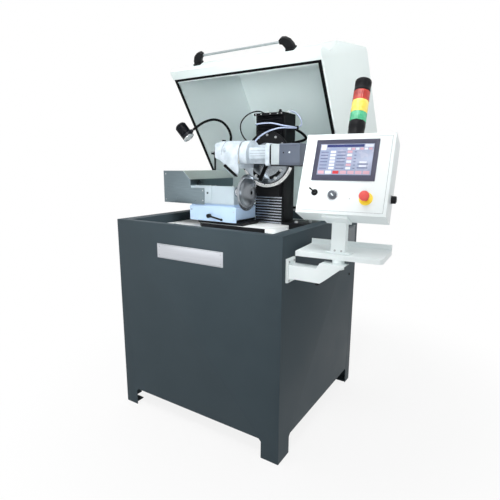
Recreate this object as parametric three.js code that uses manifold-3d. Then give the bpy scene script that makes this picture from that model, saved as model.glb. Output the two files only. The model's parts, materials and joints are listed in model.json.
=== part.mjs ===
// Circular knife grinding machine, millimetres, +Z up, front of the cabinet towards -Y.
import * as THREE from 'three';
import { mergeVertices } from 'three/addons/utils/BufferGeometryUtils.js';
import Module from 'manifold-3d';

const wasm = await Module();
wasm.setup();

// Shared clearances and counts
const clearance = 0.3;
const runningClearance = 0.3;
const overrun = 40;
const roundSides = 32;
const smallSides = 16;

// Cabinet: one welded sheet box on four corner legs
const cabinet = {
  width: 986,
  depth: 938,
  height: 1050,
  sheet: 3,
  legGap: 96,
  floorLip: 3,
  leftLeg: 81,
  rightLeg: 93,
  frontLeg: 104,
  rearLeg: 68,
  chamfer: 12,
  hem: 20,
  foot: 62,
  footSheet: 6,
};

// Heights of what hangs on or stands in the top of the cabinet count up from a datum under its rim
const datum = { underRim: 1050 };

// How far things stand in from the cabinet's front, side and rear faces
const inset = {
  side: 40,
  seal: 9.7,
  mouth: 19.3,
  hinge: 13.7,
  plug: 98,
  grilleFront: 163,
  grilleRear: 43,
  tankFront: 458,
  tankRear: 78,
};
const hoodMiddle = cabinet.width / 2;
const mouthReach = cabinet.depth - inset.hinge - inset.mouth;

// Where the hood's outline runs from its mouth, and how its handle spreads from the middle
const hoodRun = { nose: 47, noseFoot: 45, slope: 184, shoulder: 217, standOff: 40, tubeHalf: 235, bracketHalf: 305 };

// How far the arm and what it carries stand out from the cabinet's right face
const outward = { elbowLow: 148, elbowHigh: 130, strutLow: 246, strutHigh: 160, hub: 204, shelf: 196.8, post: 198, panel: 219 };

const badge = { left: 286, right: 688, bottom: 879.5, top: 950.5, sheet: 2, corner: 6 };
const grille = {
  front: cabinet.depth - inset.grilleFront,
  rear: cabinet.depth - inset.grilleRear,
  bottom: 891,
  top: 993,
  sheet: 2.5,
  slats: 7,
  slatShare: 0.45,
  border: 9,
};
const plug = { y: cabinet.depth - inset.plug, z: 710, radius: 6.5, head: 4 };
const tank = {
  left: 110,
  right: 520,
  front: cabinet.depth - inset.tankFront,
  rear: cabinet.depth - inset.tankRear,
  height: 300,
  lid: 8,
  lip: 10,
  neck: 34,
};

// Stainless tub that hangs in the cabinet
const tray = { sheet: 2, side: 66, front: 36, rear: 42, depth: 50, drainX: 190, drainY: 760, drain: 20, spout: 46 };

// Hood: hinge line, opening and side outline (u from the hinge to the front, v up from the seal plane)
const hinge = {
  y: cabinet.depth - inset.hinge,
  z: cabinet.height,
  barrel: 7,
  pin: 3,
  leaf: 3,
  leafDrop: 60,
  count: 7,
  inset: 90,
};
const hood = {
  open: 56.16,
  left: inset.side,
  right: cabinet.width - inset.side,
  sheet: 3,
  mouth: mouthReach,
  nose: mouthReach + hoodRun.nose,
  noseFoot: mouthReach + hoodRun.noseFoot,
  noseRise: 38,
  noseTop: 105,
  peak: 226,
  slopeU: mouthReach - hoodRun.slope,
  slopeV: 619,
  shoulderU: mouthReach - hoodRun.shoulder,
  shoulderV: 634,
  backU: 24,
  backV: 654,
  rearV: 632,
  lip: 21,
};
const seal = {
  left: hood.left + inset.seal,
  right: hood.right - inset.seal,
  width: 11,
  height: 10,
  front: mouthReach,
  rear: 14,
};
const handle = {
  left: hoodMiddle - hoodRun.tubeHalf,
  right: hoodMiddle + hoodRun.tubeHalf,
  tube: 6,
  reach: hood.nose + hoodRun.standOff,
  rise: 60,
  bracketWidth: hoodRun.bracketHalf - hoodRun.tubeHalf,
  leftBracket: hoodMiddle - hoodRun.bracketHalf,
  rightBracket: hoodMiddle + hoodRun.bracketHalf,
  base: 8,
  baseHeight: 40,
  foot: 44,
  leg: [[0, 0], [44, 0], [48, 14], [58, 29], [72, 33], [72, 51], [60, 60], [40, 58], [18, 44], [4, 22], [0, 4]],
};

// Bed under the working units
const bed = { left: 285, right: 768, front: 296, rear: 704, height: 21.7, corner: 40 };
const slideBase = { left: 300, right: 590, front: 296, rear: 470, height: 15, undercut: 8 };
const slide = { left: 256.5, right: 562, front: 286, rear: 476, height: 78.5, step: 13.5, padFront: 300, padRear: 460 };
const lever = { x: 394.9, drop: 50, tipX: 477.8, tipDrop: 65.4, hub: 11, bar: 4.5, knob: 7, stand: 12 };

// Workhead with its spindle and the clamped knife
const spindleAxis = { y: 325, z: 1193.8 };
const block = { front: 294, depth: 62, bottom: 1130, top: 1221, right: 543 };
const cover = {
  left: 63,
  right: 258.4,
  plateRight: 354.6,
  bottom: 1123,
  top: 1299,
  slopeX: 207,
  slopeZ: 1254,
  ledge: 1211.3,
  rear: 700,
  sheet: 2,
};
const workSpindle = { bore: 16.3, shaft: 16, start: 270, ring: 25.5, ringWidth: 13, neck: 20, flange: 60, flangeWidth: 8, end: 9 };
const knife = { face: 603, thickness: 5, radius: 92, bevel: 11, edge: 0.8, bore: 20 };
const clamp = { radius: 71.5, rim: 7, crown: 24, crownRadius: 26, shoulder: 60, hole: 10, hollow: 40 };

// Column, carriage and lift
const column = { left: 546, right: 722, front: 502, rear: 618, wall: 12, top: 1585, cap: 12, capFront: 478 };
const gland = { x: 655, y: 545, radius: 9, height: 14, inset: 60 };
const carriage = {
  bottom: 1171,
  step: 1221,
  top: 1448,
  front: 466,
  disc: 452.3,
  upperRadius: 127,
  lowerRadius: 160,
  rear: 590,
};
const bellows = { front: 484, rear: 560, pleat: 9, side: 4, lowerCount: 10, upperCount: 9 };
const pivot = { x: 645, z: 1376 };
const scaleRing = { inner: 142, outer: 158, sheet: 4, from: -152, to: -22 };
const swivel = { radius: 138, sheet: 11.7, slotRadius: 112, slot: 8, slotFrom: -78, slotTo: -38, hub: 30 };

// Grinding head on the axis of the wheel spindle
const head = { y: 325, z: 1380 };
const guard = {
  left: 425,
  right: 596,
  radius: 71,
  sheet: 2.5,
  taperX: 458,
  taperZ: 1438,
  noseTop: 1408,
  noseLow: 1382,
  noseHalf: 30,
  heel: 492,
  heelZ: 1350,
  tipX: 590,
  tipZ: 1276,
  endZ: 1279,
};
const casting = { left: 520, right: 712, bottom: 1338, top: 1430, thickFront: 367.3 };
const housing = {
  left: 640.7,
  right: 738,
  low: 18,
  floor: 42,
  high: 34,
  half: 42,
  floorHalf: 20,
  flangeWidth: 23,
  flangeHalf: 52,
  bore: 14.3,
  corner: 5,
};
const collar = { left: 598.6, right: 641, radius: 70, floor: 42, recess: 31, recessRight: 608 };
const adapter = { neck: 6, neckRadius: 36, width: 44, half: 48 };
const motor = { length: 106, half: 50, chamfer: 4 };
const wheel = { left: 572, right: 598, radius: 64, bore: 10.3, recess: 36, recessDepth: 10 };
const wheelSpindle = { nut: 18, nutWidth: 15, seat: 10, flange: 30, flangeWidth: 8, shaft: 14, end: 700 };
const nozzle = { radius: 5, tip: 3.2, tipLength: 14, rootX: 522.6, rootZ: 1329, tipX: 597, tipZ: 1274.6 };

// Lamp, coolant riser, cables and hoses: routes of bent pieces
const lampBracket = { x: 361, y: 530, half: 15, bottom: 1420, height: 16, boss: 11, bossTop: 1462 };
const neck = { radius: 7, sides: 10, steps: 44 };
const neckRoute = [
  [361, 530, 1462.6],
  [361, 530, 1470],
  [366, 524, 1490],
  [365, 500, 1530],
  [343, 474, 1564],
  [304, 452, 1577],
  [255, 432, 1566],
  [214, 412, 1540],
  [196, 399, 1523],
];
const lampHead = {
  x: 139,
  y: 390,
  z: 1515.6,
  radius: 27,
  length: 92,
  lensRadius: 24,
  rim: 3,
  knuckle: 11,
  along: 14,
  aimX: 0.62,
  aimY: 0.14,
  aimZ: -0.77,
};
const riser = { x: 108, y: 714, radius: 6, top: 1394, valve: 10, valveHeight: 16, outlet: 5, outletReach: 34 };
const tap = { length: 30, width: 9, thickness: 4, hub: 7 };
const loopCable = { radius: 3.2, sides: 8, steps: 34 };
const loopRoute = [
  [575, 530, 1597.6],
  [574.6, 529.6, 1602],
  [566, 524, 1609],
  [540, 512, 1612],
  [498, 490, 1594],
  [470, 474, 1556],
  [478, 456, 1514],
  [506, 444, 1474],
  [544, 428, 1449],
  [556, 421, 1436],
  [556.4, 420.6, 1430.8],
];
const hose = { radius: 4, sides: 8, steps: 26 };
const junction = { x: 757, y: 566, z: 1524, half: 9, reach: 7 };
const upperHoseRoute = [
  [552.6, 501.4, 1541],
  [553, 495, 1541],
  [566, 476, 1542],
  [652, 472, 1544],
  [720, 477, 1530],
  [746, 520, 1526],
  [757, 566, 1524],
];
const lowerHoseRoute = [
  [588, 412, 1430.8],
  [588.2, 412.2, 1438],
  [609, 426, 1471],
  [664, 442, 1503],
  [714, 466, 1517],
  [744, 516, 1519],
  [757, 566, 1522],
];
const topHoseRoute = [
  [712, 550, 1597.6],
  [712.4, 550.2, 1602],
  [724, 556, 1608],
  [752, 572, 1592],
  [772, 584, 1560],
  [772, 582, 1536],
  [757, 566, 1524],
];
const powerCable = { radius: 7, sides: 10, steps: 26 };
const powerRoute = [
  [722.8, 592, 1522],
  [731, 592.2, 1521.6],
  [746, 600, 1512],
  [766, 624, 1494],
  [776, 640, 1474],
  [766, 626, 1462],
  [746, 602, 1454],
  [731, 594.4, 1450.4],
  [722.8, 594, 1450],
];

// Panel arm: bolted flange, level box, rising strut and the swivel on its end
const arm = {
  flange: 9.7,
  flangeFront: 30,
  flangeRear: 100,
  flangeBottom: 850,
  flangeTop: 952,
  front: 40,
  rear: 97,
  bottom: 868,
  top: 926,
  elbowLow: cabinet.width + outward.elbowLow,
  elbowHigh: cabinet.width + outward.elbowHigh,
  strutLow: cabinet.width + outward.strutLow,
  strutHigh: cabinet.width + outward.strutHigh,
  strutTop: 950,
  hubX: cabinet.width + outward.hub,
  hubY: 90,
  hub: 24,
  hubTop: 965.5,
  pin: 12,
};
const shelf = {
  x: cabinet.width + outward.shelf,
  y: 169.7,
  width: 349,
  depth: 206,
  bottom: 966,
  top: 987,
  sheet: 3,
  upstand: 22,
  corner: 10,
  boss: 22,
};
const post = {
  x: cabinet.width + outward.post,
  front: 92,
  width: 58,
  depth: 32,
  flangeWidth: 103,
  flangeFront: 48,
  flangeRear: 104,
  plate: 5,
};
const panel = {
  x: cabinet.width + outward.panel,
  y: 21,
  z: 1152.6,
  yaw: 5,
  tilt: -22,
  width: 341.6,
  height: 321.8,
  depth: 110,
  frame: 9,
  step: 1.2,
};
const bezel = { left: 45, right: 286.5, bottom: 131, top: 297, proud: 4, glassLeft: 62.5, glassRight: 269 };
const glass = { bottom: 153.5, top: 279.5, thickness: 2.6 };
const toggle = { across: 66, up: 82, boss: 11, bossProud: 5, ball: 5, stem: 3.2, length: 28, lean: 12, side: 22 };
const selector = { across: 138, up: 73, radius: 16.5, proud: 20, neck: 12, neckProud: 3, pointer: 3 };
const estop = { across: 264, up: 64, ring: 25, ringSheet: 2, stem: 9, cap: 17.7, capStart: 22, proud: 42, travel: 6 };
const sideKnob = { up: 80, back: 50, radius: 15, ring: 18, ringSheet: 3, proud: 22, stem: 6 };
const stack = { across: 178, back: 50, radius: 30.85, base: 70, green: 37, yellow: 50, red: 41, cap: 52, rim: 12, seat: 0.3 };

// Finishes
const finish = (color, roughness, metalness) => new THREE.MeshStandardMaterial({ color, roughness, metalness });
const slatePaint = () => finish(0x404a50, 0.45, 0.2);
const whitePaint = () => finish(0xf0f2f2, 0.4, 0.1);
const stainless = () => finish(0xa9adad, 0.28, 0.95);
const blackPaint = () => finish(0x141518, 0.5, 0.2);
const blackPlastic = () => finish(0x17181a, 0.6, 0);
const blackRubber = () => finish(0x101012, 0.85, 0);
const machined = () => finish(0xb9bcbe, 0.3, 0.95);

// Solids to geometries and back
function solidOf(geometry) {
  const bare = geometry.clone();
  bare.deleteAttribute('normal');
  bare.deleteAttribute('uv');
  const merged = mergeVertices(bare);
  const vertProperties = new Float32Array(merged.attributes.position.array);
  const triVerts = new Uint32Array(merged.index.array);
  return new wasm.Manifold(new wasm.Mesh({ numProp: 3, vertProperties, triVerts }));
}

function geometryOf(solid) {
  const mesh = solid.getMesh();
  const geometry = new THREE.BufferGeometry();
  geometry.setAttribute('position', new THREE.BufferAttribute(new Float32Array(mesh.vertProperties), 3));
  geometry.setIndex(new THREE.BufferAttribute(new Uint32Array(mesh.triVerts), 1));
  geometry.computeVertexNormals();
  return geometry;
}

function join(...geometries) {
  return geometryOf(geometries.map(solidOf).reduce((whole, piece) => whole.add(piece)));
}

function cut(base, ...tools) {
  return geometryOf(tools.map(solidOf).reduce((whole, piece) => whole.subtract(piece), solidOf(base)));
}

function common(first, second) {
  return geometryOf(solidOf(first).intersect(solidOf(second)));
}

// A box between two limits on each axis
function box(x0, x1, y0, y1, z0, z1) {
  const geometry = new THREE.BoxGeometry(x1 - x0, y1 - y0, z1 - z0);
  return geometry.translate((x0 + x1) / 2, (y0 + y1) / 2, (z0 + z1) / 2);
}

// An outline extruded along one axis between two limits
function slab(axis, outline, from, to) {
  const shape = new THREE.Shape(outline.map(([a, b]) => new THREE.Vector2(a, b)));
  const geometry = new THREE.ExtrudeGeometry(shape, { depth: to - from, bevelEnabled: false });
  const basis = new THREE.Matrix4();
  if (axis === 'x') {
    basis.set(0, 0, 1, from, 1, 0, 0, 0, 0, 1, 0, 0, 0, 0, 0, 1);
  } else if (axis === 'y') {
    basis.set(1, 0, 0, 0, 0, 0, -1, to, 0, 1, 0, 0, 0, 0, 0, 1);
  } else {
    basis.set(1, 0, 0, 0, 0, 1, 0, 0, 0, 0, 1, from, 0, 0, 0, 1);
  }
  return geometry.applyMatrix4(basis);
}

// Points of an arc, in degrees
function arc(cx, cy, radius, from, to, count) {
  const points = [];
  for (let i = 0; i <= count; i += 1) {
    const angle = THREE.MathUtils.degToRad(from + ((to - from) * i) / count);
    points.push([cx + radius * Math.cos(angle), cy + radius * Math.sin(angle)]);
  }
  return points;
}

// Turns +Y geometry so that it points along a direction from a start point
function aim(geometry, start, direction) {
  const turn = new THREE.Quaternion();
  turn.setFromUnitVectors(new THREE.Vector3(0, 1, 0), new THREE.Vector3(...direction).normalize());
  geometry.applyQuaternion(turn);
  return geometry.translate(...start);
}

function rod(start, direction, radius, length, sides = roundSides) {
  const geometry = new THREE.CylinderGeometry(radius, radius, length, sides);
  return aim(geometry.translate(0, length / 2, 0), start, direction);
}

function cone(start, direction, radius, tip, length, sides = smallSides) {
  const geometry = new THREE.CylinderGeometry(tip, radius, length, sides);
  return aim(geometry.translate(0, length / 2, 0), start, direction);
}

function ball(centre, radius, sides = smallSides) {
  return new THREE.SphereGeometry(radius, sides, sides / 2).translate(...centre);
}

// A turned piece: profile points are radius and height along the direction
function turned(start, direction, profile, sides = roundSides) {
  const points = profile.map(([radius, height]) => new THREE.Vector2(radius, height));
  return aim(new THREE.LatheGeometry(points, sides), start, direction);
}

// A round bar or hose along a route of points
function along(route, radius, sides, steps) {
  const curve = new THREE.CatmullRomCurve3(route.map((point) => new THREE.Vector3(...point)), false, 'centripetal');
  const shape = new THREE.Shape(arc(0, 0, radius, 0, 360 - 360 / sides, sides - 1).map(([a, b]) => new THREE.Vector2(a, b)));
  return new THREE.ExtrudeGeometry(shape, { steps, extrudePath: curve, bevelEnabled: false });
}

const along3 = (start, end) => [end[0] - start[0], end[1] - start[1], end[2] - start[2]];
const xAxis = [1, 0, 0];
const minusX = [-1, 0, 0];
const minusY = [0, -1, 0];
const plusY = [0, 1, 0];
const plusZ = [0, 0, 1];
const minusZ = [0, 0, -1];

function part(parent, name, geometry, material) {
  const mesh = new THREE.Mesh(geometry, material);
  mesh.name = name;
  parent.add(mesh);
  return mesh;
}

function group(parent, name) {
  const made = new THREE.Group();
  made.name = name;
  parent.add(made);
  return made;
}

const machine = new THREE.Group();
machine.name = 'circular_knife_grinder';
const stand = group(machine, 'stand');
const raised = group(machine, 'raised');
raised.position.z = cabinet.height - datum.underRim;
const standing = group(raised, 'standing');

// Cabinet shell: outer box, hollow above and below its floor, leg openings, hem under the tub, feet
const floorUnder = cabinet.legGap + cabinet.floorLip;
const floorTop = floorUnder + cabinet.sheet;
const hemTop = cabinet.height - tray.sheet - clearance;
function legOpening(from, to) {
  return [
    [from, -overrun],
    [to, -overrun],
    [to, cabinet.legGap - cabinet.chamfer],
    [to - cabinet.chamfer, cabinet.legGap],
    [from + cabinet.chamfer, cabinet.legGap],
    [from, cabinet.legGap - cabinet.chamfer],
  ];
}
const innerRight = cabinet.width - cabinet.sheet;
const innerRear = cabinet.depth - cabinet.sheet;
const shellHollow = join(
  box(cabinet.sheet, innerRight, cabinet.sheet, innerRear, floorTop, cabinet.height + overrun),
  box(cabinet.sheet, innerRight, cabinet.sheet, innerRear, -overrun, floorUnder),
);
const hemHollow = box(
  cabinet.sheet + cabinet.hem,
  innerRight - cabinet.hem,
  cabinet.sheet + cabinet.hem,
  cabinet.depth + overrun,
  hemTop - overrun,
  hemTop + overrun,
);
const hemRing = cut(
  box(0, cabinet.width, 0, cabinet.depth - tray.rear - cabinet.sheet, hemTop - cabinet.sheet, hemTop),
  hemHollow,
);
const feet = [];
for (const x of [0, cabinet.width - cabinet.foot]) {
  for (const y of [0, cabinet.depth - cabinet.foot]) {
    feet.push(box(x, x + cabinet.foot, y, y + cabinet.foot, 0, cabinet.footSheet));
  }
}
const walls = cut(
  box(0, cabinet.width, 0, cabinet.depth, 0, cabinet.height),
  shellHollow,
  slab('y', legOpening(cabinet.leftLeg, cabinet.width - cabinet.rightLeg), -overrun, cabinet.depth + overrun),
  slab('x', legOpening(cabinet.frontLeg, cabinet.depth - cabinet.rearLeg), -overrun, cabinet.width + overrun),
);
part(stand, 'cabinet_shell', join(walls, hemRing, ...feet), slatePaint());

// Bare badge plate with cut corners on the front
function cutCorners(x0, x1, y0, y1, corner) {
  return [
    [x0 + corner, y0],
    [x1 - corner, y0],
    [x1, y0 + corner],
    [x1, y1 - corner],
    [x1 - corner, y1],
    [x0 + corner, y1],
    [x0, y1 - corner],
    [x0, y0 + corner],
  ];
}
const badgeOutline = cutCorners(badge.left, badge.right, badge.bottom, badge.top, badge.corner);
part(standing, 'badge_plate', slab('y', badgeOutline, -badge.sheet - clearance, -clearance), machined());

// Ventilation grille with sloping slots on the right side
const grilleFace = cabinet.width + clearance;
const slotPitch = (grille.top - grille.bottom - grille.border * 2) / grille.slats;
const slots = [];
for (let i = 0; i < grille.slats; i += 1) {
  const low = grille.bottom + grille.border + slotPitch * (i + (1 - grille.slatShare) / 2);
  const front = grille.front + grille.border;
  const rear = grille.rear - grille.border;
  slots.push(box(grilleFace - overrun, grilleFace + overrun, front, rear, low, low + slotPitch * grille.slatShare));
}
const grillePlate = box(grilleFace, grilleFace + grille.sheet, grille.front, grille.rear, grille.bottom, grille.top);
part(standing, 'vent_grille', cut(grillePlate, ...slots), finish(0x8d9498, 0.5, 0.3));
part(standing, 'side_plug', rod([grilleFace, plug.y, plug.z], xAxis, plug.radius, plug.head, smallSides), blackPlastic());

// Coolant tank with its lid and pump neck, on the cabinet floor
const tankFloor = floorTop + clearance;
const tankTop = tankFloor + tank.height;
const tankX = (tank.left + tank.right) / 2;
const tankY = (tank.front + tank.rear) / 2;
const tankBody = join(
  box(tank.left, tank.right, tank.front, tank.rear, tankFloor, tankTop),
  box(tank.left - tank.lip, tank.right + tank.lip, tank.front - tank.lip, tank.rear + tank.lip, tankTop - tank.lid, tankTop),
  rod([tankX, tankY, tankTop - tank.lid], plusZ, tank.neck, tank.neck * 3, smallSides),
  rod([tankX, tankY, tankTop + tank.neck * 2], plusZ, tank.neck * 1.3, tank.neck * 2.4, smallSides),
);
part(stand, 'coolant_tank', tankBody, finish(0x5a6268, 0.5, 0.3));

// Tub: wide level flange, walls, floor and drain spout
const tubFloor = cabinet.height - tray.depth;
const tubRear = cabinet.depth - tray.rear;
const tubRight = cabinet.width - tray.side;
const flangeEdge = cabinet.sheet + clearance;
const trayRear = hinge.y - hinge.barrel - tray.sheet;
const trayBody = join(
  box(flangeEdge, cabinet.width - flangeEdge, flangeEdge, trayRear, cabinet.height - tray.sheet, cabinet.height),
  box(
    tray.side - tray.sheet,
    tubRight + tray.sheet,
    tray.front - tray.sheet,
    tubRear + tray.sheet,
    tubFloor - tray.sheet,
    cabinet.height,
  ),
  rod([tray.drainX, tray.drainY, tubFloor - tray.spout], plusZ, tray.drain + tray.sheet, tray.spout, smallSides),
);
const drip = cut(
  trayBody,
  box(tray.side, tubRight, tray.front, tubRear, tubFloor, cabinet.height + overrun),
  rod([tray.drainX, tray.drainY, tubFloor - tray.spout - overrun], plusZ, tray.drain, tray.spout + overrun * 2, smallSides),
);
part(stand, 'drip_tray', drip, stainless());

// Hinge: leaf and knuckles on the cabinet, leaf and knuckles on the hood, one long pin
const hingeLength = hood.right - hood.left - hinge.inset * 2;
const hingeStart = hood.left + hinge.inset;
const knuckle = hingeLength / hinge.count;
function knuckles(first, y, z) {
  const rods = [];
  for (let i = first; i < hinge.count; i += 2) {
    const length = knuckle - clearance * 2;
    rods.push(rod([hingeStart + knuckle * i + clearance, y, z], xAxis, hinge.barrel, length, smallSides));
  }
  return rods;
}
const leafBack = innerRear - clearance;
const fixedLeaf = box(
  hingeStart,
  hingeStart + hingeLength,
  leafBack - hinge.leaf - clearance * 3,
  leafBack,
  hinge.z - hinge.leafDrop,
  hinge.z - hinge.barrel - clearance,
);
const fixedEars = [];
for (let i = 0; i < hinge.count; i += 2) {
  const from = hingeStart + knuckle * i + clearance;
  const to = from + knuckle - clearance * 2;
  fixedEars.push(box(from, to, hinge.y, leafBack, hinge.z - hinge.leafDrop / 2, hinge.z));
}
const pinRod = rod([hingeStart, hinge.y, hinge.z], xAxis, hinge.pin, hingeLength, smallSides);
part(stand, 'hinge_fixed', join(fixedLeaf, ...fixedEars, ...knuckles(0, hinge.y, hinge.z), pinRod), machined());

// Hood, modelled closed about the hinge line and then opened
const hoodBody = group(machine, 'hood');
hoodBody.position.set(0, hinge.y, hinge.z);
hoodBody.rotation.x = -THREE.MathUtils.degToRad(hood.open);
const mouth = seal.height + clearance;
function hoodOutline(inset) {
  return [
    [-inset, mouth - overrun * (inset > 0 ? 1 : 0)],
    [-inset, hood.rearV - inset / 2],
    [-hood.backU - inset / 2, hood.backV - inset],
    [-hood.shoulderU, hood.shoulderV - inset],
    [-hood.slopeU + inset / 2, hood.slopeV - inset],
    [-hood.mouth + inset, hood.peak - inset / 4],
    [-hood.mouth + inset, mouth - overrun * (inset > 0 ? 1 : 0)],
  ].reverse();
}
const noseOutline = [
  [-hood.mouth + hood.sheet, mouth],
  [-hood.mouth + hood.sheet, hood.noseTop + hood.sheet],
  [-hood.mouth, hood.noseTop + hood.sheet],
  [-hood.nose, hood.noseRise],
  [-hood.noseFoot, clearance],
  [-hood.mouth - clearance, clearance],
  [-hood.mouth - clearance, mouth],
].reverse();
const lipOutline = [
  [-hood.mouth, mouth],
  [0, mouth],
  [0, mouth + hood.sheet],
  [-hood.mouth, mouth + hood.sheet],
];
const innerSlab = slab('x', hoodOutline(hood.sheet), hood.left + hood.sheet, hood.right - hood.sheet);
const hoodWalls = cut(slab('x', hoodOutline(0), hood.left, hood.right), innerSlab);
const lipRing = cut(
  slab('x', lipOutline, hood.left, hood.right),
  box(
    hood.left + hood.lip,
    hood.right - hood.lip,
    -hood.mouth + hood.lip,
    -hood.lip,
    mouth - overrun,
    mouth + overrun,
  ),
);
const noseSlab = slab('x', noseOutline, hood.left, hood.right);
part(hoodBody, 'hood_shell', join(hoodWalls, lipRing, noseSlab), finish(0xe6eae8, 0.45, 0.1));

const sealRing = cut(
  box(seal.left, seal.right, -seal.front, -seal.rear, clearance, seal.height),
  box(
    seal.left + seal.width,
    seal.right - seal.width,
    -seal.front + seal.width,
    -seal.rear - seal.width,
    -overrun,
    seal.height + overrun,
  ),
);
part(hoodBody, 'hood_seal', sealRing, blackRubber());

const hoodEars = [];
for (let i = 1; i < hinge.count; i += 2) {
  const from = hingeStart + knuckle * i + clearance;
  const to = from + knuckle - clearance * 2;
  hoodEars.push(box(from, to, clearance, hinge.leaf + clearance, 0, hinge.leafDrop));
}
const hoodLeaf = box(
  hingeStart,
  hingeStart + hingeLength,
  clearance,
  hinge.leaf + clearance,
  hinge.barrel + clearance * 4,
  hinge.leafDrop,
);
const pinBore = rod([hingeStart - overrun, 0, 0], xAxis, hinge.pin + runningClearance, hingeLength + overrun * 2, smallSides);
part(hoodBody, 'hinge_hood', cut(join(hoodLeaf, ...hoodEars, ...knuckles(1, 0, 0)), pinBore), machined());

// Handle: a tube between two moulded end brackets on the nose
const tubeCentre = [-handle.reach, handle.rise];
function bracket(x, side) {
  const faceU = -hood.nose - clearance;
  const outer = side > 0 ? x : x + handle.bracketWidth;
  const flat = handle.leg.map(([a, b]) => [outer + side * a, faceU - b]);
  const footSpan = [outer, outer + side * handle.foot];
  const body = slab('z', side > 0 ? flat.reverse() : flat, handle.rise - handle.tube * 2, handle.rise + handle.tube * 2);
  const foot = box(Math.min(...footSpan), Math.max(...footSpan), faceU - handle.base, faceU, hood.noseRise, handle.rise + handle.baseHeight / 2);
  const socket = rod([handle.left - clearance, ...tubeCentre], xAxis, handle.tube + clearance, handle.right - handle.left + clearance * 2);
  const slope = slab('x', noseOutline, hood.left - overrun, hood.right + overrun);
  return cut(join(body, foot), socket, slope);
}
part(hoodBody, 'handle_bracket_left', bracket(handle.leftBracket, 1), blackPlastic());
part(hoodBody, 'handle_bracket_right', bracket(handle.rightBracket - handle.bracketWidth, -1), blackPlastic());
part(
  hoodBody,
  'handle_tube',
  rod([handle.left, ...tubeCentre], xAxis, handle.tube, handle.right - handle.left, smallSides),
  finish(0xd9dcdc, 0.35, 0.9),
);

// Bed casting and the way of the work slide
const bedFloor = datum.underRim - tray.depth;
const bedBottom = bedFloor + clearance;
const bedTop = bedBottom + bed.height;
const bedBody = slab('z', cutCorners(bed.left, bed.right, bed.front, bed.rear, bed.corner), bedBottom, bedTop);
part(standing, 'base_casting', bedBody, blackPaint());
const wayBottom = bedTop + clearance;
const wayTop = wayBottom + slideBase.height;
const wayOutline = [
  [slideBase.front + slideBase.undercut, wayBottom],
  [slideBase.rear - slideBase.undercut, wayBottom],
  [slideBase.rear, wayTop],
  [slideBase.front, wayTop],
];
part(standing, 'slide_base', slab('x', wayOutline, slideBase.left, slideBase.right), blackPaint());

// Work slide with its clamp lever
const work = group(raised, 'work_slide');
const slideBottom = wayTop + clearance;
const slideTop = slideBottom + slide.height;
const padTop = block.bottom - clearance;
const slideBody = join(
  box(slide.left, slide.right, slide.front, slide.rear, slideBottom, slideTop),
  box(cover.right + clearance, block.right, slide.padFront, slide.padRear, slideTop - slide.step, padTop),
);
part(work, 'work_slide', slideBody, finish(0xcfd8e2, 0.4, 0.2));
const leverGroup = group(work, 'clamp_lever');
const leverZ = slideTop - lever.drop;
leverGroup.position.set(lever.x, slide.front - clearance, leverZ);
const leverTip = [lever.tipX - lever.x, -lever.stand, lever.drop - lever.tipDrop];
const leverBar = cone(
  [0, -lever.stand, 0],
  along3([0, -lever.stand, 0], leverTip),
  lever.bar * 1.2,
  lever.bar,
  Math.hypot(leverTip[0], leverTip[2]),
  smallSides,
);
part(
  leverGroup,
  'clamp_lever',
  join(rod([0, 0, 0], minusY, lever.hub, lever.stand * 1.6, smallSides), leverBar, ball(leverTip, lever.knob)),
  blackPlastic(),
);

// Workhead block, bored for its spindle
const blockBore = rod([cover.right - overrun, spindleAxis.y, spindleAxis.z], xAxis, workSpindle.bore, overrun * 10);
const blockLeft = cover.right + clearance;
const blockBody = box(blockLeft, block.right, block.front, block.front + block.depth, block.bottom, block.top);
part(work, 'workhead_block', cut(blockBody, blockBore), whitePaint());

// Sheet cover of the workhead drive, open below, with a plate in front of the block
const coverFront = block.front - clearance - cover.sheet;
const coverOutline = [
  [cover.left, cover.bottom],
  [cover.right, cover.bottom],
  [cover.right, cover.slopeZ],
  [cover.slopeX, cover.top],
  [cover.left, cover.top],
];
const coverHollow = [
  [cover.left + cover.sheet, cover.bottom - overrun],
  [cover.right - cover.sheet, cover.bottom - overrun],
  [cover.right - cover.sheet, cover.slopeZ - cover.sheet],
  [cover.slopeX - cover.sheet / 2, cover.top - cover.sheet],
  [cover.left + cover.sheet, cover.top - cover.sheet],
];
const coverBox = cut(
  slab('y', coverOutline, coverFront, cover.rear),
  slab('y', coverHollow, coverFront + cover.sheet, cover.rear - cover.sheet),
);
const coverPlate = box(
  cover.right - cover.sheet,
  cover.plateRight,
  coverFront,
  coverFront + cover.sheet,
  cover.bottom,
  cover.ledge,
);
part(work, 'workhead_cover', join(coverBox, coverPlate), stainless());

// Work spindle, knife and clamping flange, all turned about the spindle axis
const turning = group(work, 'work_spindle');
const axisStart = (x) => [x, spindleAxis.y, spindleAxis.z];
const ringStart = block.right + runningClearance * 2 - workSpindle.start;
const flangeStart = knife.face - clearance - workSpindle.flangeWidth - workSpindle.start;
const seatStart = knife.face - clearance - workSpindle.start;
const screwEnd = knife.face + knife.thickness + clamp.hollow / 2 - workSpindle.start;
const bossRadius = knife.bore - runningClearance;
const spindleProfile = [
  [0, 0],
  [workSpindle.shaft, 0],
  [workSpindle.shaft, ringStart],
  [workSpindle.ring, ringStart],
  [workSpindle.ring, ringStart + workSpindle.ringWidth],
  [workSpindle.neck, ringStart + workSpindle.ringWidth],
  [workSpindle.neck, flangeStart],
  [workSpindle.flange, flangeStart],
  [workSpindle.flange, seatStart],
  [bossRadius, seatStart],
  [bossRadius, seatStart + knife.thickness],
  [workSpindle.end, seatStart + knife.thickness],
  [workSpindle.end, screwEnd],
  [0, screwEnd],
];
part(turning, 'work_spindle', turned(axisStart(workSpindle.start), xAxis, spindleProfile), machined());
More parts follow.
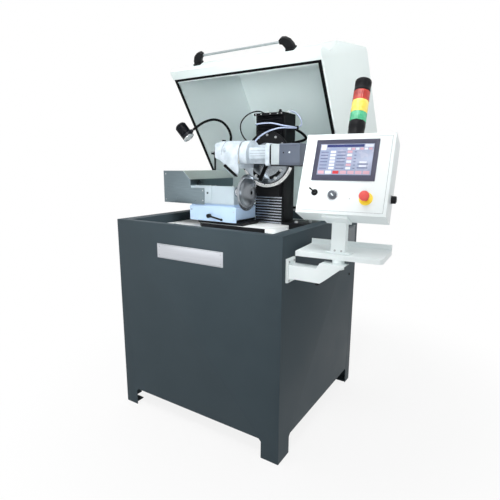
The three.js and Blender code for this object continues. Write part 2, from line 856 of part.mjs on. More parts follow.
const knifeProfile = [
  [knife.bore, 0],
  [knife.radius - knife.bevel, 0],
  [knife.radius, (knife.thickness - knife.edge) / 2],
  [knife.radius, (knife.thickness + knife.edge) / 2],
  [knife.radius - knife.bevel, knife.thickness],
  [knife.bore, knife.thickness],
  [knife.bore, 0],
];
part(turning, 'knife_disc', turned(axisStart(knife.face), xAxis, knifeProfile, roundSides + smallSides), finish(0xc4c7c9, 0.18, 1));
const clampProfile = [
  [clamp.hole, 0],
  [clamp.radius, 0],
  [clamp.radius, clamp.rim],
  [clamp.shoulder, clamp.rim + (clamp.crown - clamp.rim) / 2],
  [clamp.crownRadius, clamp.crown],
  [clamp.hole, clamp.crown],
  [clamp.hole, 0],
];
const clampStart = knife.face + knife.thickness + clearance;
part(turning, 'knife_flange', turned(axisStart(clampStart), xAxis, clampProfile, roundSides), finish(0x8f9396, 0.3, 0.95));

// Column: a channel open to the front, closed by a cap with a cable gland
const columnBottom = bedTop + clearance;
const channelOutline = [
  [column.left, column.front],
  [column.left + column.wall, column.front],
  [column.left + column.wall, column.rear - column.wall],
  [column.right - column.wall, column.rear - column.wall],
  [column.right - column.wall, column.front],
  [column.right, column.front],
  [column.right, column.rear],
  [column.left, column.rear],
];
const columnCap = box(column.left, column.right, column.capFront, column.rear, column.top, column.top + column.cap);
const glandRod = rod([gland.x, gland.y, column.top + column.cap / 2], plusZ, gland.radius, gland.height, smallSides);
const columnBody = join(slab('z', channelOutline, columnBottom, column.top + column.cap / 2), columnCap, glandRod);
part(standing, 'column_body', columnBody, blackPaint());

// Pleated way covers above and below the carriage
const channelLeft = column.left + column.wall + clearance;
const channelRight = column.right - column.wall - clearance;
function pleats(bottom, top, count) {
  const pitch = (top - bottom) / count;
  const outline = [[bellows.rear, bottom]];
  for (let i = 0; i < count; i += 1) {
    outline.push([bellows.front + bellows.pleat, bottom + pitch * i]);
    outline.push([bellows.front, bottom + pitch * (i + 1 / 2)]);
  }
  outline.push([bellows.front + bellows.pleat, top]);
  outline.push([bellows.rear, top]);
  return slab('x', outline.reverse(), channelLeft + bellows.side, channelRight - bellows.side);
}
const lowerPleats = pleats(columnBottom, carriage.bottom - clearance, bellows.lowerCount);
const upperPleats = pleats(carriage.top + clearance, column.top - clearance, bellows.upperCount);
part(standing, 'lower_bellows', lowerPleats, finish(0x6f747a, 0.5, 0.5));
part(standing, 'upper_bellows', upperPleats, blackRubber());

// Carriage on the column with its round face and the angle scale
const lift = group(raised, 'lift_carriage');
const faceOutline = [
  ...arc(pivot.x, pivot.z, carriage.upperRadius, 0, 180, smallSides),
  ...arc(pivot.x, pivot.z, carriage.lowerRadius, 180, 360, smallSides),
];
const carriageBody = join(
  slab('y', faceOutline, carriage.disc, carriage.front + clearance),
  box(channelLeft, channelRight, carriage.front, carriage.rear, carriage.bottom, carriage.top),
);
part(lift, 'carriage', carriageBody, blackPaint());
const ringOutline = [
  ...arc(pivot.x, pivot.z, scaleRing.outer, scaleRing.from, scaleRing.to, roundSides),
  ...arc(pivot.x, pivot.z, scaleRing.inner, scaleRing.to, scaleRing.from, roundSides),
];
const ringBack = carriage.disc - clearance;
part(lift, 'angle_scale', slab('y', ringOutline, ringBack - scaleRing.sheet, ringBack), finish(0xf4f5f4, 0.4, 0.1));

// Grinding head, modelled about its tilt pivot
const tilt = group(lift, 'grinding_head');
tilt.position.set(pivot.x, carriage.disc, pivot.z);
const toTilt = (geometry) => geometry.translate(-pivot.x, -carriage.disc, -pivot.z);

// Swivel plate: lower sector with two curved slots
const plateBack = carriage.disc - clearance;
const plateFront = plateBack - swivel.sheet;
const sector = [
  ...arc(pivot.x, pivot.z, swivel.radius, -180, 0, roundSides),
  ...arc(pivot.x, pivot.z, swivel.radius / 2, 0, 180, smallSides),
];
function curvedSlot(from, to) {
  const outer = arc(pivot.x, pivot.z, swivel.slotRadius + swivel.slot, from, to, smallSides / 2);
  const inner = arc(pivot.x, pivot.z, swivel.slotRadius - swivel.slot, to, from, smallSides / 2);
  return slab('y', [...outer, ...inner], plateFront - overrun, plateBack + overrun);
}
const swivelBody = cut(
  slab('y', sector, plateFront, plateBack),
  curvedSlot(swivel.slotFrom, swivel.slotTo),
  curvedSlot(-180 - swivel.slotTo, -180 - swivel.slotFrom),
);
part(tilt, 'swivel_plate', toTilt(swivelBody), machined());

// Casting that carries the guard and the spindle housing
const castingBack = plateFront - clearance;
const guardRear = head.y + guard.radius + clearance;
const castingBody = join(
  box(casting.left, casting.right, guardRear, castingBack, casting.bottom, casting.top),
  box(collar.right + clearance, casting.right, casting.thickFront, castingBack, casting.bottom, casting.top),
);
part(tilt, 'head_casting', toTilt(castingBody), finish(0xd7dadb, 0.45, 0.3));

// Wheel guard: a drum with a nose tapered in height and width and straight skirts, open below and to the right
function guardSide(inset) {
  const sheet = inset * guard.sheet;
  return [
    [guard.left + sheet, guard.noseLow - overrun * inset],
    [guard.heel, guard.heelZ - overrun * inset],
    [guard.tipX, guard.tipZ - overrun * inset],
    [guard.right + overrun * inset, guard.endZ - overrun * inset],
    [guard.right + overrun * inset, head.z + guard.radius - sheet],
    [guard.taperX + sheet, head.z + guard.radius - sheet],
    [guard.left + guard.sheet * 6 + sheet, guard.taperZ - sheet],
    [guard.left + sheet, guard.noseTop - sheet],
  ];
}
function guardPlan(inset) {
  const sheet = inset * guard.sheet;
  const reach = guard.radius + overrun;
  const half = guard.noseHalf - sheet;
  return [
    [guard.left + sheet, head.y - half],
    [guard.heel + sheet * 2, head.y - reach],
    [guard.right + overrun * 2, head.y - reach],
    [guard.right + overrun * 2, head.y + reach],
    [guard.heel + sheet * 2, head.y + reach],
    [guard.left + sheet, head.y + half],
  ];
}
function guardSection(radius) {
  return [...arc(head.y, head.z, radius, 0, 180, smallSides), [head.y - radius, guard.tipZ - overrun * 2], [head.y + radius, guard.tipZ - overrun * 2]];
}
function guardSolid(inset) {
  const reach = guard.radius + overrun;
  const radius = guard.radius - inset * guard.sheet;
  const drum = common(
    slab('y', guardSide(inset), head.y - reach, head.y + reach),
    slab('x', guardSection(radius), guard.left - overrun, guard.right + overrun * 2),
  );
  return common(drum, slab('z', guardPlan(inset), guard.tipZ - overrun * 4, head.z + guard.radius + overrun));
}
part(tilt, 'wheel_guard', toTilt(cut(guardSolid(0), guardSolid(1))), whitePaint());

// Spindle housing: round collar at the guard, ribbed body narrower below, square flange
const boreStart = [collar.left - overrun, head.y, head.z];
const housingBore = rod(boreStart, xAxis, housing.bore, overrun * 4);
const collarRecess = rod(boreStart, xAxis, collar.recess, overrun + collar.recessRight - collar.left);
const collarBody = common(
  rod([collar.left, head.y, head.z], xAxis, collar.radius, collar.right - collar.left),
  box(
    collar.left - overrun,
    collar.right + overrun,
    head.y - collar.radius - overrun,
    head.y + collar.radius + overrun,
    head.z - collar.floor,
    head.z + collar.radius + overrun,
  ),
);
const housingSection = [
  [head.y - housing.floorHalf, head.z - housing.floor],
  [head.y + housing.floorHalf, head.z - housing.floor],
  [head.y + housing.half, head.z - housing.low],
  [head.y + housing.half, head.z + housing.high - housing.corner],
  [head.y + housing.half - housing.corner, head.z + housing.high],
  [head.y - housing.half + housing.corner, head.z + housing.high],
  [head.y - housing.half, head.z + housing.high - housing.corner],
  [head.y - housing.half, head.z - housing.low],
];
const housingEnd = housing.right + housing.flangeWidth;
const housingBody = join(
  collarBody,
  slab('x', housingSection, housing.left, housing.right + clearance),
  slab(
    'x',
    cutCorners(
      head.y - housing.flangeHalf,
      head.y + housing.flangeHalf,
      head.z - housing.flangeHalf,
      head.z + housing.flangeHalf,
      motor.chamfer * 2,
    ),
    housing.right,
    housingEnd,
  ),
);
part(tilt, 'spindle_housing', toTilt(cut(housingBody, housingBore, collarRecess)), finish(0xdfe4e8, 0.4, 0.3));

// Motor adapter and motor
const adapterStart = housingEnd + clearance;
const adapterEnd = adapterStart + adapter.neck + adapter.width;
function squareSlab(half, from, to) {
  return slab('x', cutCorners(head.y - half, head.y + half, head.z - half, head.z + half, motor.chamfer), from, to);
}
const adapterBody = join(
  rod([adapterStart, head.y, head.z], xAxis, adapter.neckRadius, adapter.neck * 2),
  squareSlab(adapter.half, adapterStart + adapter.neck, adapterEnd),
);
part(tilt, 'motor_adapter', toTilt(adapterBody), whitePaint());
const motorStart = adapterEnd + clearance;
part(tilt, 'spindle_motor', toTilt(squareSlab(motor.half, motorStart, motorStart + motor.length)), finish(0x80858a, 0.45, 0.5));

// Coolant nozzle bar on the front skirt of the guard
const nozzleY = head.y - guard.radius - clearance - nozzle.radius;
const nozzleRoute = [
  [nozzle.rootX, nozzleY, nozzle.rootZ],
  [nozzle.tipX, nozzleY, nozzle.tipZ],
];
const nozzleAim = along3(nozzleRoute[0], nozzleRoute[1]);
const nozzleLength = Math.hypot(...nozzleAim);
const nozzleUnit = nozzleAim.map((value) => value / nozzleLength);
const nozzleEnd = nozzleRoute[0].map((value, i) => value + nozzleUnit[i] * (nozzleLength - nozzle.tipLength * 1.1));
const nozzleBody = join(
  rod(nozzleRoute[0], nozzleAim, nozzle.radius, nozzleLength - nozzle.tipLength, smallSides / 2),
  cone(nozzleEnd, nozzleAim, nozzle.radius, nozzle.tip, nozzle.tipLength, smallSides / 2),
);
part(tilt, 'coolant_nozzle', toTilt(nozzleBody), blackPlastic());

// Grinding spindle and wheel
const wheelTurning = group(tilt, 'grinding_spindle');
const wheelStart = wheel.left - clearance - wheelSpindle.nutWidth;
const seatFrom = wheel.left - clearance - wheelStart;
const seatTo = wheel.right + clearance - wheelStart;
const grindingProfile = [
  [0, 0],
  [wheelSpindle.nut, 0],
  [wheelSpindle.nut, seatFrom],
  [wheelSpindle.seat, seatFrom],
  [wheelSpindle.seat, seatTo],
  [wheelSpindle.flange, seatTo],
  [wheelSpindle.flange, seatTo + wheelSpindle.flangeWidth],
  [wheelSpindle.shaft, seatTo + wheelSpindle.flangeWidth],
  [wheelSpindle.shaft, wheelSpindle.end - wheelStart],
  [0, wheelSpindle.end - wheelStart],
];
const grindingAxis = [wheelStart, head.y, head.z];
part(wheelTurning, 'grinding_spindle', toTilt(turned(grindingAxis, xAxis, grindingProfile)), machined());
const wheelWidth = wheel.right - wheel.left;
const wheelProfile = [
  [wheel.bore, wheel.recessDepth],
  [wheel.recess, wheel.recessDepth],
  [wheel.recess, 0],
  [wheel.radius, 0],
  [wheel.radius, wheelWidth],
  [wheel.bore, wheelWidth],
  [wheel.bore, wheel.recessDepth],
];
part(wheelTurning, 'grinding_wheel', toTilt(turned([wheel.left, head.y, head.z], xAxis, wheelProfile)), finish(0xe9e7e2, 0.95, 0));

// Lamp: bracket on the column, flexible neck and ribbed head
const bracketTop = lampBracket.bottom + lampBracket.height;
const lampArm = join(
  box(
    lampBracket.x - lampBracket.half,
    column.left - clearance,
    lampBracket.y - lampBracket.half,
    lampBracket.y + lampBracket.half,
    lampBracket.bottom,
    bracketTop,
  ),
  rod(
    [lampBracket.x, lampBracket.y, bracketTop - clearance],
    plusZ,
    lampBracket.boss,
    lampBracket.bossTop - bracketTop + clearance,
    smallSides,
  ),
);
part(standing, 'lamp_bracket', lampArm, blackPaint());
part(standing, 'lamp_neck', along(neckRoute, neck.radius, neck.sides, neck.steps), blackRubber());
const lampTilt = group(raised, 'lamp_head');
const aimVector = new THREE.Vector3(lampHead.aimX, lampHead.aimY, lampHead.aimZ).normalize();
const headCentre = new THREE.Vector3(lampHead.x, lampHead.y, lampHead.z);
const neckEnd = new THREE.Vector3(...neckRoute[neckRoute.length - 1]);
const neckBefore = new THREE.Vector3(...neckRoute[neckRoute.length - 2]);
const neckLine = neckEnd.clone().sub(neckBefore).normalize();
const knuckleCentre = neckEnd.clone().addScaledVector(neckLine, lampHead.knuckle + clearance);
lampTilt.position.copy(knuckleCentre);
const lampStart = headCentre.clone().addScaledVector(aimVector, -lampHead.length / 2).sub(knuckleCentre);
const lampProfile = [
  [0, 0],
  [lampHead.radius - lampHead.rim, 0],
  [lampHead.radius, lampHead.rim],
  [lampHead.radius, lampHead.length],
  [lampHead.lensRadius, lampHead.length],
  [lampHead.lensRadius, lampHead.length - lampHead.rim],
  [0, lampHead.length - lampHead.rim],
];
const lampArmStart = headCentre.clone().addScaledVector(aimVector, lampHead.along).sub(knuckleCentre);
const lampBody = join(
  turned(lampStart.toArray(), aimVector.toArray(), lampProfile, smallSides),
  ball([0, 0, 0], lampHead.knuckle),
  rod([0, 0, 0], lampArmStart.toArray(), lampHead.knuckle * 0.6, lampArmStart.length(), smallSides),
);
part(lampTilt, 'lamp_head', lampBody, finish(0x1c1d20, 0.5, 0.3));

// Coolant riser with its tap
const riserBottom = bedFloor + clearance;
const outletZ = riser.top + riser.valveHeight / 2;
const riserBody = join(
  rod([riser.x, riser.y, riserBottom], plusZ, riser.radius * 2, riser.radius, smallSides),
  rod([riser.x, riser.y, riserBottom], plusZ, riser.radius, riser.top - riserBottom + clearance, smallSides),
  rod([riser.x, riser.y, riser.top], plusZ, riser.valve, riser.valveHeight, smallSides),
  rod([riser.x, riser.y, outletZ], minusY, riser.outlet, riser.outletReach, smallSides),
);
part(standing, 'coolant_riser', riserBody, blackPaint());
const tapGroup = group(raised, 'tap_lever');
tapGroup.position.set(riser.x, riser.y, riser.top + riser.valveHeight + clearance);
const tapBody = join(
  rod([0, 0, 0], plusZ, tap.hub, tap.thickness * 1.5, smallSides),
  box(-tap.length, 0, -tap.width / 2, tap.width / 2, 0, tap.thickness),
);
part(tapGroup, 'tap_lever', tapBody, finish(0x8a8d90, 0.4, 0.8));

// Cables and hoses held at both ends
part(standing, 'cable_loop', along(loopRoute, loopCable.radius, loopCable.sides, loopCable.steps), blackRubber());
const hoseBlock = box(
  junction.x - junction.half,
  junction.x + junction.half,
  junction.y - junction.reach,
  junction.y + junction.reach,
  junction.z - junction.half,
  junction.z + junction.half,
);
const clipArm = box(column.right + clearance, junction.x, junction.y - junction.reach, junction.y, junction.z - junction.half, junction.z);
const hoses = [upperHoseRoute, lowerHoseRoute, topHoseRoute].map((route) => along(route, hose.radius, hose.sides, hose.steps));
part(standing, 'coolant_hoses', join(hoseBlock, clipArm, ...hoses), finish(0xaab4cc, 0.35, 0));
part(standing, 'power_cable', along(powerRoute, powerCable.radius, powerCable.sides, powerCable.steps), blackRubber());

// Panel arm: bolted flange, box, strut and hub
const armStart = cabinet.width + clearance;
const armOutline = [
  [armStart, arm.bottom],
  [arm.elbowLow, arm.bottom],
  [arm.strutLow, arm.strutTop],
  [arm.strutHigh - (arm.hubTop - arm.strutTop), arm.strutTop],
  [arm.elbowHigh, arm.top],
  [armStart, arm.top],
];
const hubPin = rod([arm.hubX, arm.hubY, arm.strutTop - arm.pin], plusZ, arm.pin + runningClearance, overrun * 2);
const armBody = cut(
  join(
    box(armStart, armStart + arm.flange, arm.flangeFront, arm.flangeRear, arm.flangeBottom, arm.flangeTop),
    slab('y', armOutline, arm.front, arm.rear),
    rod([arm.hubX, arm.hubY, arm.strutTop - arm.pin * 2], plusZ, arm.hub, arm.hubTop - arm.strutTop + arm.pin * 2),
  ),
  hubPin,
);
part(standing, 'panel_arm', armBody, whitePaint());

// Shelf, post and panel box turn together on the hub
const turret = group(raised, 'panel_swivel');
turret.position.set(arm.hubX, arm.hubY, 0);
const yaw = THREE.MathUtils.degToRad(panel.yaw);
function place(geometry, x, y, z, tiltAngle) {
  const turn = new THREE.Euler(tiltAngle, 0, yaw, 'ZYX');
  const matrix = new THREE.Matrix4().makeRotationFromEuler(turn);
  matrix.setPosition(x - arm.hubX, y - arm.hubY, z);
  return geometry.applyMatrix4(matrix);
}
const halfWidth = shelf.width / 2;
const halfDepth = shelf.depth / 2;
const shelfOutline = [
  [-halfWidth, -halfDepth],
  [halfWidth - shelf.corner, -halfDepth],
  [halfWidth, -halfDepth + shelf.corner],
  [halfWidth, halfDepth],
  [-halfWidth, halfDepth],
];
const shelfPan = cut(
  slab('z', shelfOutline, shelf.bottom, shelf.top),
  box(
    -halfWidth + shelf.sheet,
    halfWidth - shelf.sheet - shelf.corner,
    -halfDepth + shelf.sheet,
    halfDepth - shelf.sheet,
    shelf.bottom - overrun,
    shelf.top - shelf.sheet,
  ),
);
const upstand = box(
  -halfWidth,
  halfWidth,
  halfDepth - shelf.sheet,
  halfDepth,
  shelf.bottom,
  shelf.top + shelf.upstand,
);
const shelfPlaced = place(join(shelfPan, upstand), shelf.x, shelf.y, 0, 0);
const shelfBoss = rod([0, 0, shelf.bottom], plusZ, shelf.boss, shelf.top - shelf.sheet / 2 - shelf.bottom);
const shelfPin = rod([0, 0, arm.strutTop], plusZ, arm.pin, shelf.top - arm.strutTop - shelf.sheet / 2);
part(turret, 'shelf', join(shelfPlaced, shelfBoss, shelfPin), whitePaint());

// Panel group: leans back and faces the operator
const panelGroup = group(turret, 'panel');
const tiltAngle = THREE.MathUtils.degToRad(panel.tilt);
panelGroup.position.set(panel.x - arm.hubX, panel.y - arm.hubY, panel.z);
panelGroup.rotation.set(tiltAngle, 0, yaw, 'ZYX');

// Post: upright tube under the panel, trimmed to the sloping plate on its top
const postTube = box(
  post.x - arm.hubX - post.width / 2,
  post.x - arm.hubX + post.width / 2,
  post.front - arm.hubY,
  post.front + post.depth - arm.hubY,
  shelf.top + clearance,
  panel.z,
);
const plateTop = -clearance;
const reachAll = panel.width * 2;
const trim = place(box(-reachAll, reachAll, -reachAll, reachAll, plateTop - post.plate / 2, reachAll), panel.x, panel.y, panel.z, tiltAngle);
const postCentre = post.x - panel.x;
const topPlate = place(
  box(
    postCentre - post.flangeWidth / 2,
    postCentre + post.flangeWidth / 2,
    post.flangeFront,
    post.flangeRear,
    plateTop - post.plate,
    plateTop,
  ),
  panel.x,
  panel.y,
  panel.z,
  tiltAngle,
);
const footSheet = shelf.sheet * 2;
const postFoot = box(
  post.x - arm.hubX - post.flangeWidth / 2,
  post.x - arm.hubX + post.flangeWidth / 2,
  post.front - arm.hubY,
  post.front + post.depth + footSheet * 3 - arm.hubY,
  shelf.top + clearance,
  shelf.top + footSheet,
);
part(turret, 'post', join(cut(postTube, trim), topPlate, postFoot), whitePaint());

// Panel box with a shallow step round its face
const left = -panel.width / 2;
const right = panel.width / 2;
const frameCut = cut(
  box(left, right, -overrun, panel.step, 0, panel.height),
  box(left + panel.frame, right - panel.frame, -overrun * 2, panel.step + overrun, panel.frame, panel.height - panel.frame),
);
const onFace = -clearance;
const toggleBase = rod([left + toggle.across, panel.step * 2, toggle.up], minusY, toggle.boss, toggle.bossProud + panel.step * 2, smallSides);
const panelFront = cut(box(left, right, 0, panel.depth, 0, panel.height), frameCut);
const estopBore = rod([left + estop.across, -overrun, estop.up], plusY, estop.stem + runningClearance, overrun + estop.travel * 2, smallSides);
part(panelGroup, 'panel_box', cut(join(panelFront, toggleBase), estopBore), whitePaint());
const bezelPlate = box(left + bezel.left, left + bezel.right, onFace - bezel.proud, onFace, bezel.bottom, bezel.top);
const window = box(left + bezel.glassLeft, left + bezel.glassRight, -overrun, overrun, glass.bottom, glass.top);
part(panelGroup, 'screen_bezel', cut(bezelPlate, window), finish(0x3a3d42, 0.5, 0.1));
const glassPlate = box(
  left + bezel.glassLeft + clearance,
  left + bezel.glassRight - clearance,
  onFace - glass.thickness,
  onFace,
  glass.bottom + clearance,
  glass.top - clearance,
);
part(panelGroup, 'screen_glass', glassPlate, finish(0xb9cfe8, 0.15, 0));

// Emergency stop: yellow ring and a red mushroom that pushes in
const ringHole = rod([left + estop.across, overrun, estop.up], minusY, estop.stem + runningClearance, overrun * 2, smallSides);
const estopPlate = rod([left + estop.across, onFace, estop.up], minusY, estop.ring, estop.ringSheet);
part(panelGroup, 'estop_ring', cut(estopPlate, ringHole), finish(0xf2c81e, 0.5, 0));
const estopGroup = group(panelGroup, 'estop_button');
estopGroup.position.set(left + estop.across, 0, estop.up);
const estopProfile = [
  [0, 0],
  [estop.stem, 0],
  [estop.stem, estop.capStart],
  [estop.cap, estop.capStart + estop.stem / 4],
  [estop.cap, estop.proud - estop.stem],
  [estop.cap * 0.8, estop.proud - estop.stem / 4],
  [0, estop.proud],
];
part(estopGroup, 'estop_button', turned([0, onFace, 0], minusY, estopProfile, smallSides), finish(0xc8201f, 0.4, 0));

// Selector knob with a raised pointer
const selectorGroup = group(panelGroup, 'selector_knob');
selectorGroup.position.set(left + selector.across, onFace, selector.up);
const selectorBody = join(
  turned([0, 0, 0], minusY, [[0, 0], [selector.radius, 0], [selector.neck, selector.proud], [0, selector.proud]], smallSides),
  box(
    -selector.pointer,
    selector.pointer,
    -selector.proud - selector.neckProud,
    -selector.proud / 2,
    -selector.neck * 0.8,
    selector.neck * 0.95,
  ),
);
part(selectorGroup, 'selector_knob', selectorBody, blackPlastic());

// Toggle lever on the boss of the box, leaning up and to the left
const toggleGroup = group(panelGroup, 'toggle_lever');
toggleGroup.position.set(left + toggle.across, onFace - toggle.bossProud - toggle.ball, toggle.up);
const leanUp = THREE.MathUtils.degToRad(toggle.lean);
const leanSide = THREE.MathUtils.degToRad(toggle.side);
const toggleAim = [-Math.sin(leanSide), -Math.cos(leanUp), Math.sin(leanUp)];
const toggleBody = join(ball([0, 0, 0], toggle.ball), cone([0, 0, 0], toggleAim, toggle.stem * 0.7, toggle.stem, toggle.length, smallSides));
part(toggleGroup, 'toggle_lever', toggleBody, finish(0xc9cccd, 0.25, 1));

// Side knob on the right face of the panel box
const knobGroup = group(panelGroup, 'side_knob');
knobGroup.position.set(right + clearance, sideKnob.back, sideKnob.up);
const knobBody = join(
  rod([0, 0, 0], xAxis, sideKnob.ring, sideKnob.ringSheet, smallSides),
  rod([0, 0, 0], xAxis, sideKnob.radius, sideKnob.proud, smallSides),
);
part(knobGroup, 'side_knob', knobBody, blackPlastic());

// Stack light on the top of the box
const stackX = left + stack.across;
let stackZ = panel.height + clearance;
function tier(name, height, material, profile) {
  const shape = profile || [[0, 0], [stack.radius, 0], [stack.radius, height], [0, height]];
  part(panelGroup, name, turned([stackX, stack.back, stackZ], plusZ, shape), material);
  stackZ += height + clearance;
}
tier('stack_base', stack.base, blackPlastic());
tier('stack_green', stack.green, finish(0x2f9a6a, 0.3, 0));
tier('stack_yellow', stack.yellow, finish(0xf0c23c, 0.3, 0));
tier('stack_red', stack.red, finish(0xd8402f, 0.3, 0));
const capProfile = [
  [0, 0],
  [stack.radius, 0],
  [stack.radius, stack.cap - stack.rim],
  [stack.radius - stack.rim * 0.3, stack.cap - stack.rim * 0.3],
  [stack.radius - stack.rim, stack.cap],
  [0, stack.cap],
];
tier('stack_cap', stack.cap, blackPlastic(), capProfile);

// Origin: centre of the bounding box, at the floor
machine.updateMatrixWorld(true);
const bounds = new THREE.Box3().setFromObject(machine, true);
const centre = bounds.getCenter(new THREE.Vector3());
machine.position.set(-centre.x, -centre.y, -bounds.min.z);
machine.updateMatrixWorld(true);

export default machine;
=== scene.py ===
"""Circular knife grinder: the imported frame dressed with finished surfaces, a studio and a camera.

Lengths inside the classes are millimetres from the cabinet's front left foot (X right, Y back, Z up).
"""
import json
import logging
import math
from collections.abc import Iterable
from dataclasses import dataclass, field
from enum import Enum, IntEnum
from itertools import product

import bmesh
import bpy
import numpy as np
from mathutils import Matrix, Vector


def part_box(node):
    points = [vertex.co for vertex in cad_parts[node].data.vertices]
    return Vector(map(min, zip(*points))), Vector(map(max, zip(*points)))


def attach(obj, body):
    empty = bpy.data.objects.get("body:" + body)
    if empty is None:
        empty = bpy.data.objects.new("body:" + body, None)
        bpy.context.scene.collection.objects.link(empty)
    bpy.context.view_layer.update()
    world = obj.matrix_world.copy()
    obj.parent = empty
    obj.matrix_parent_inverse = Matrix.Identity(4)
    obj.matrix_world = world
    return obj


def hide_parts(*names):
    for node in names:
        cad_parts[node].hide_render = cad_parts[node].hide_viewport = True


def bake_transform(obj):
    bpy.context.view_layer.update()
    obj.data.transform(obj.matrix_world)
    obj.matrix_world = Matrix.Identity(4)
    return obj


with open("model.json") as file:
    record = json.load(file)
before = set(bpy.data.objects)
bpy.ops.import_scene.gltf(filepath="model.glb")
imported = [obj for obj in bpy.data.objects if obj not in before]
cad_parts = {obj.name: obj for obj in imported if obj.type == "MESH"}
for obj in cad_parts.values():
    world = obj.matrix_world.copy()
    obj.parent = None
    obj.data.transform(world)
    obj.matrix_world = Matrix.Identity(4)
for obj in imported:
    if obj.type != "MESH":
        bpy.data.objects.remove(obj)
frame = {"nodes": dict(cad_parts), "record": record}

LOG = logging.getLogger("grinder")
Array = np.ndarray
Pair = tuple[float, float]
Point = tuple[float, float, float]
Spot = Point | Array
Route = tuple[Point, ...]
Span = tuple[float, float, float, float]
Profile = tuple[Pair, ...]
Outline = Profile | list[Pair] | list[Array] | Array
Boxes = tuple[tuple[Point, Point, float] | tuple[Point, Point, float, int], ...]
Colour = tuple[int, int, int]
Tree = bpy.types.NodeTree
Socket = bpy.types.NodeSocket
CORNER = np.array(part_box("cabinet_shell")[0])
BODY_OF = {n: b for b, nodes in frame["record"]["behaviour"]["bodies"].items() for n in nodes}
MM = 1000
RAMP = (0.32, 0.68)
SPREAD = (0.3, 0.7)
BUMP = 0.6
WELD_CAD, WELD_OWN = 2e-5, 2e-6
FLAT, SHARP_CAD = 0.6, 30.0
RIGHT, LEFT, FRONT = (1, 0, 0), (-1, 0, 0), (0, -1, 0)
UP, DOWN = (0, 0, 1), (0, 0, -1)


def metres(points: Spot) -> Array:
    """Cabinet millimetres to frame metres: a thousandth of each number plus the cabinet's corner."""
    return np.asarray(points, float) / MM + CORNER


def linear(colour: Colour) -> tuple[float, float, float, float]:
    """Screen bytes to a linear colour: ((c + 0.055) / 1.055) to the power 2.4 above the straight part."""
    c = np.array(colour) / 255
    low = np.where(c <= 0.04045, c / 12.92, ((c + 0.055) / 1.055) ** 2.4)
    return float(low[0]), float(low[1]), float(low[2]), 1.0


def feed(made: bpy.types.Node, inputs: dict) -> None:
    """Fills a node's inputs.

    Args:
        made: the node.
        inputs: for each named or numbered input its value, or a socket that is linked to it.
    """
    for key, value in inputs.items():
        if isinstance(value, Socket):
            made.id_data.links.new(value, made.inputs[key])
        else:
            made.inputs[key].default_value = value


def add_node(tree: Tree, kind: str, inputs: dict | None = None, **settings: str) -> bpy.types.Node:
    """Adds a shader node.

    Args:
        tree: the node tree.
        kind: the node's type without its first word.
        inputs: value or socket for each input.
        settings: the node's own options.

    Returns:
        The node.
    """
    made = tree.nodes.new(f"ShaderNode{kind}")
    for key, value in settings.items():
        setattr(made, key, value)
    feed(made, inputs or {})
    return made


def add_noise(tree: Tree, vector: Socket, scale: float, detail: float) -> Socket:
    """Adds a noise.

    Args:
        tree: the node tree.
        vector: the place of each point.
        scale: cells per unit.
        detail: finer octaves.

    Returns:
        The socket of its height.
    """
    return add_node(tree, "TexNoise", {"Scale": scale, "Detail": detail, "Vector": vector}).outputs["Fac"]


class Grain(Enum):
    """The kind of fine surface a finish has."""

    PEEL = "sprayed paint"
    BRUSHED = "straight brushed lines"
    TURNED = "rings left by turning"
    MOULDED = "moulded plastic or rubber"
    GRIT = "bonded abrasive or rough casting"


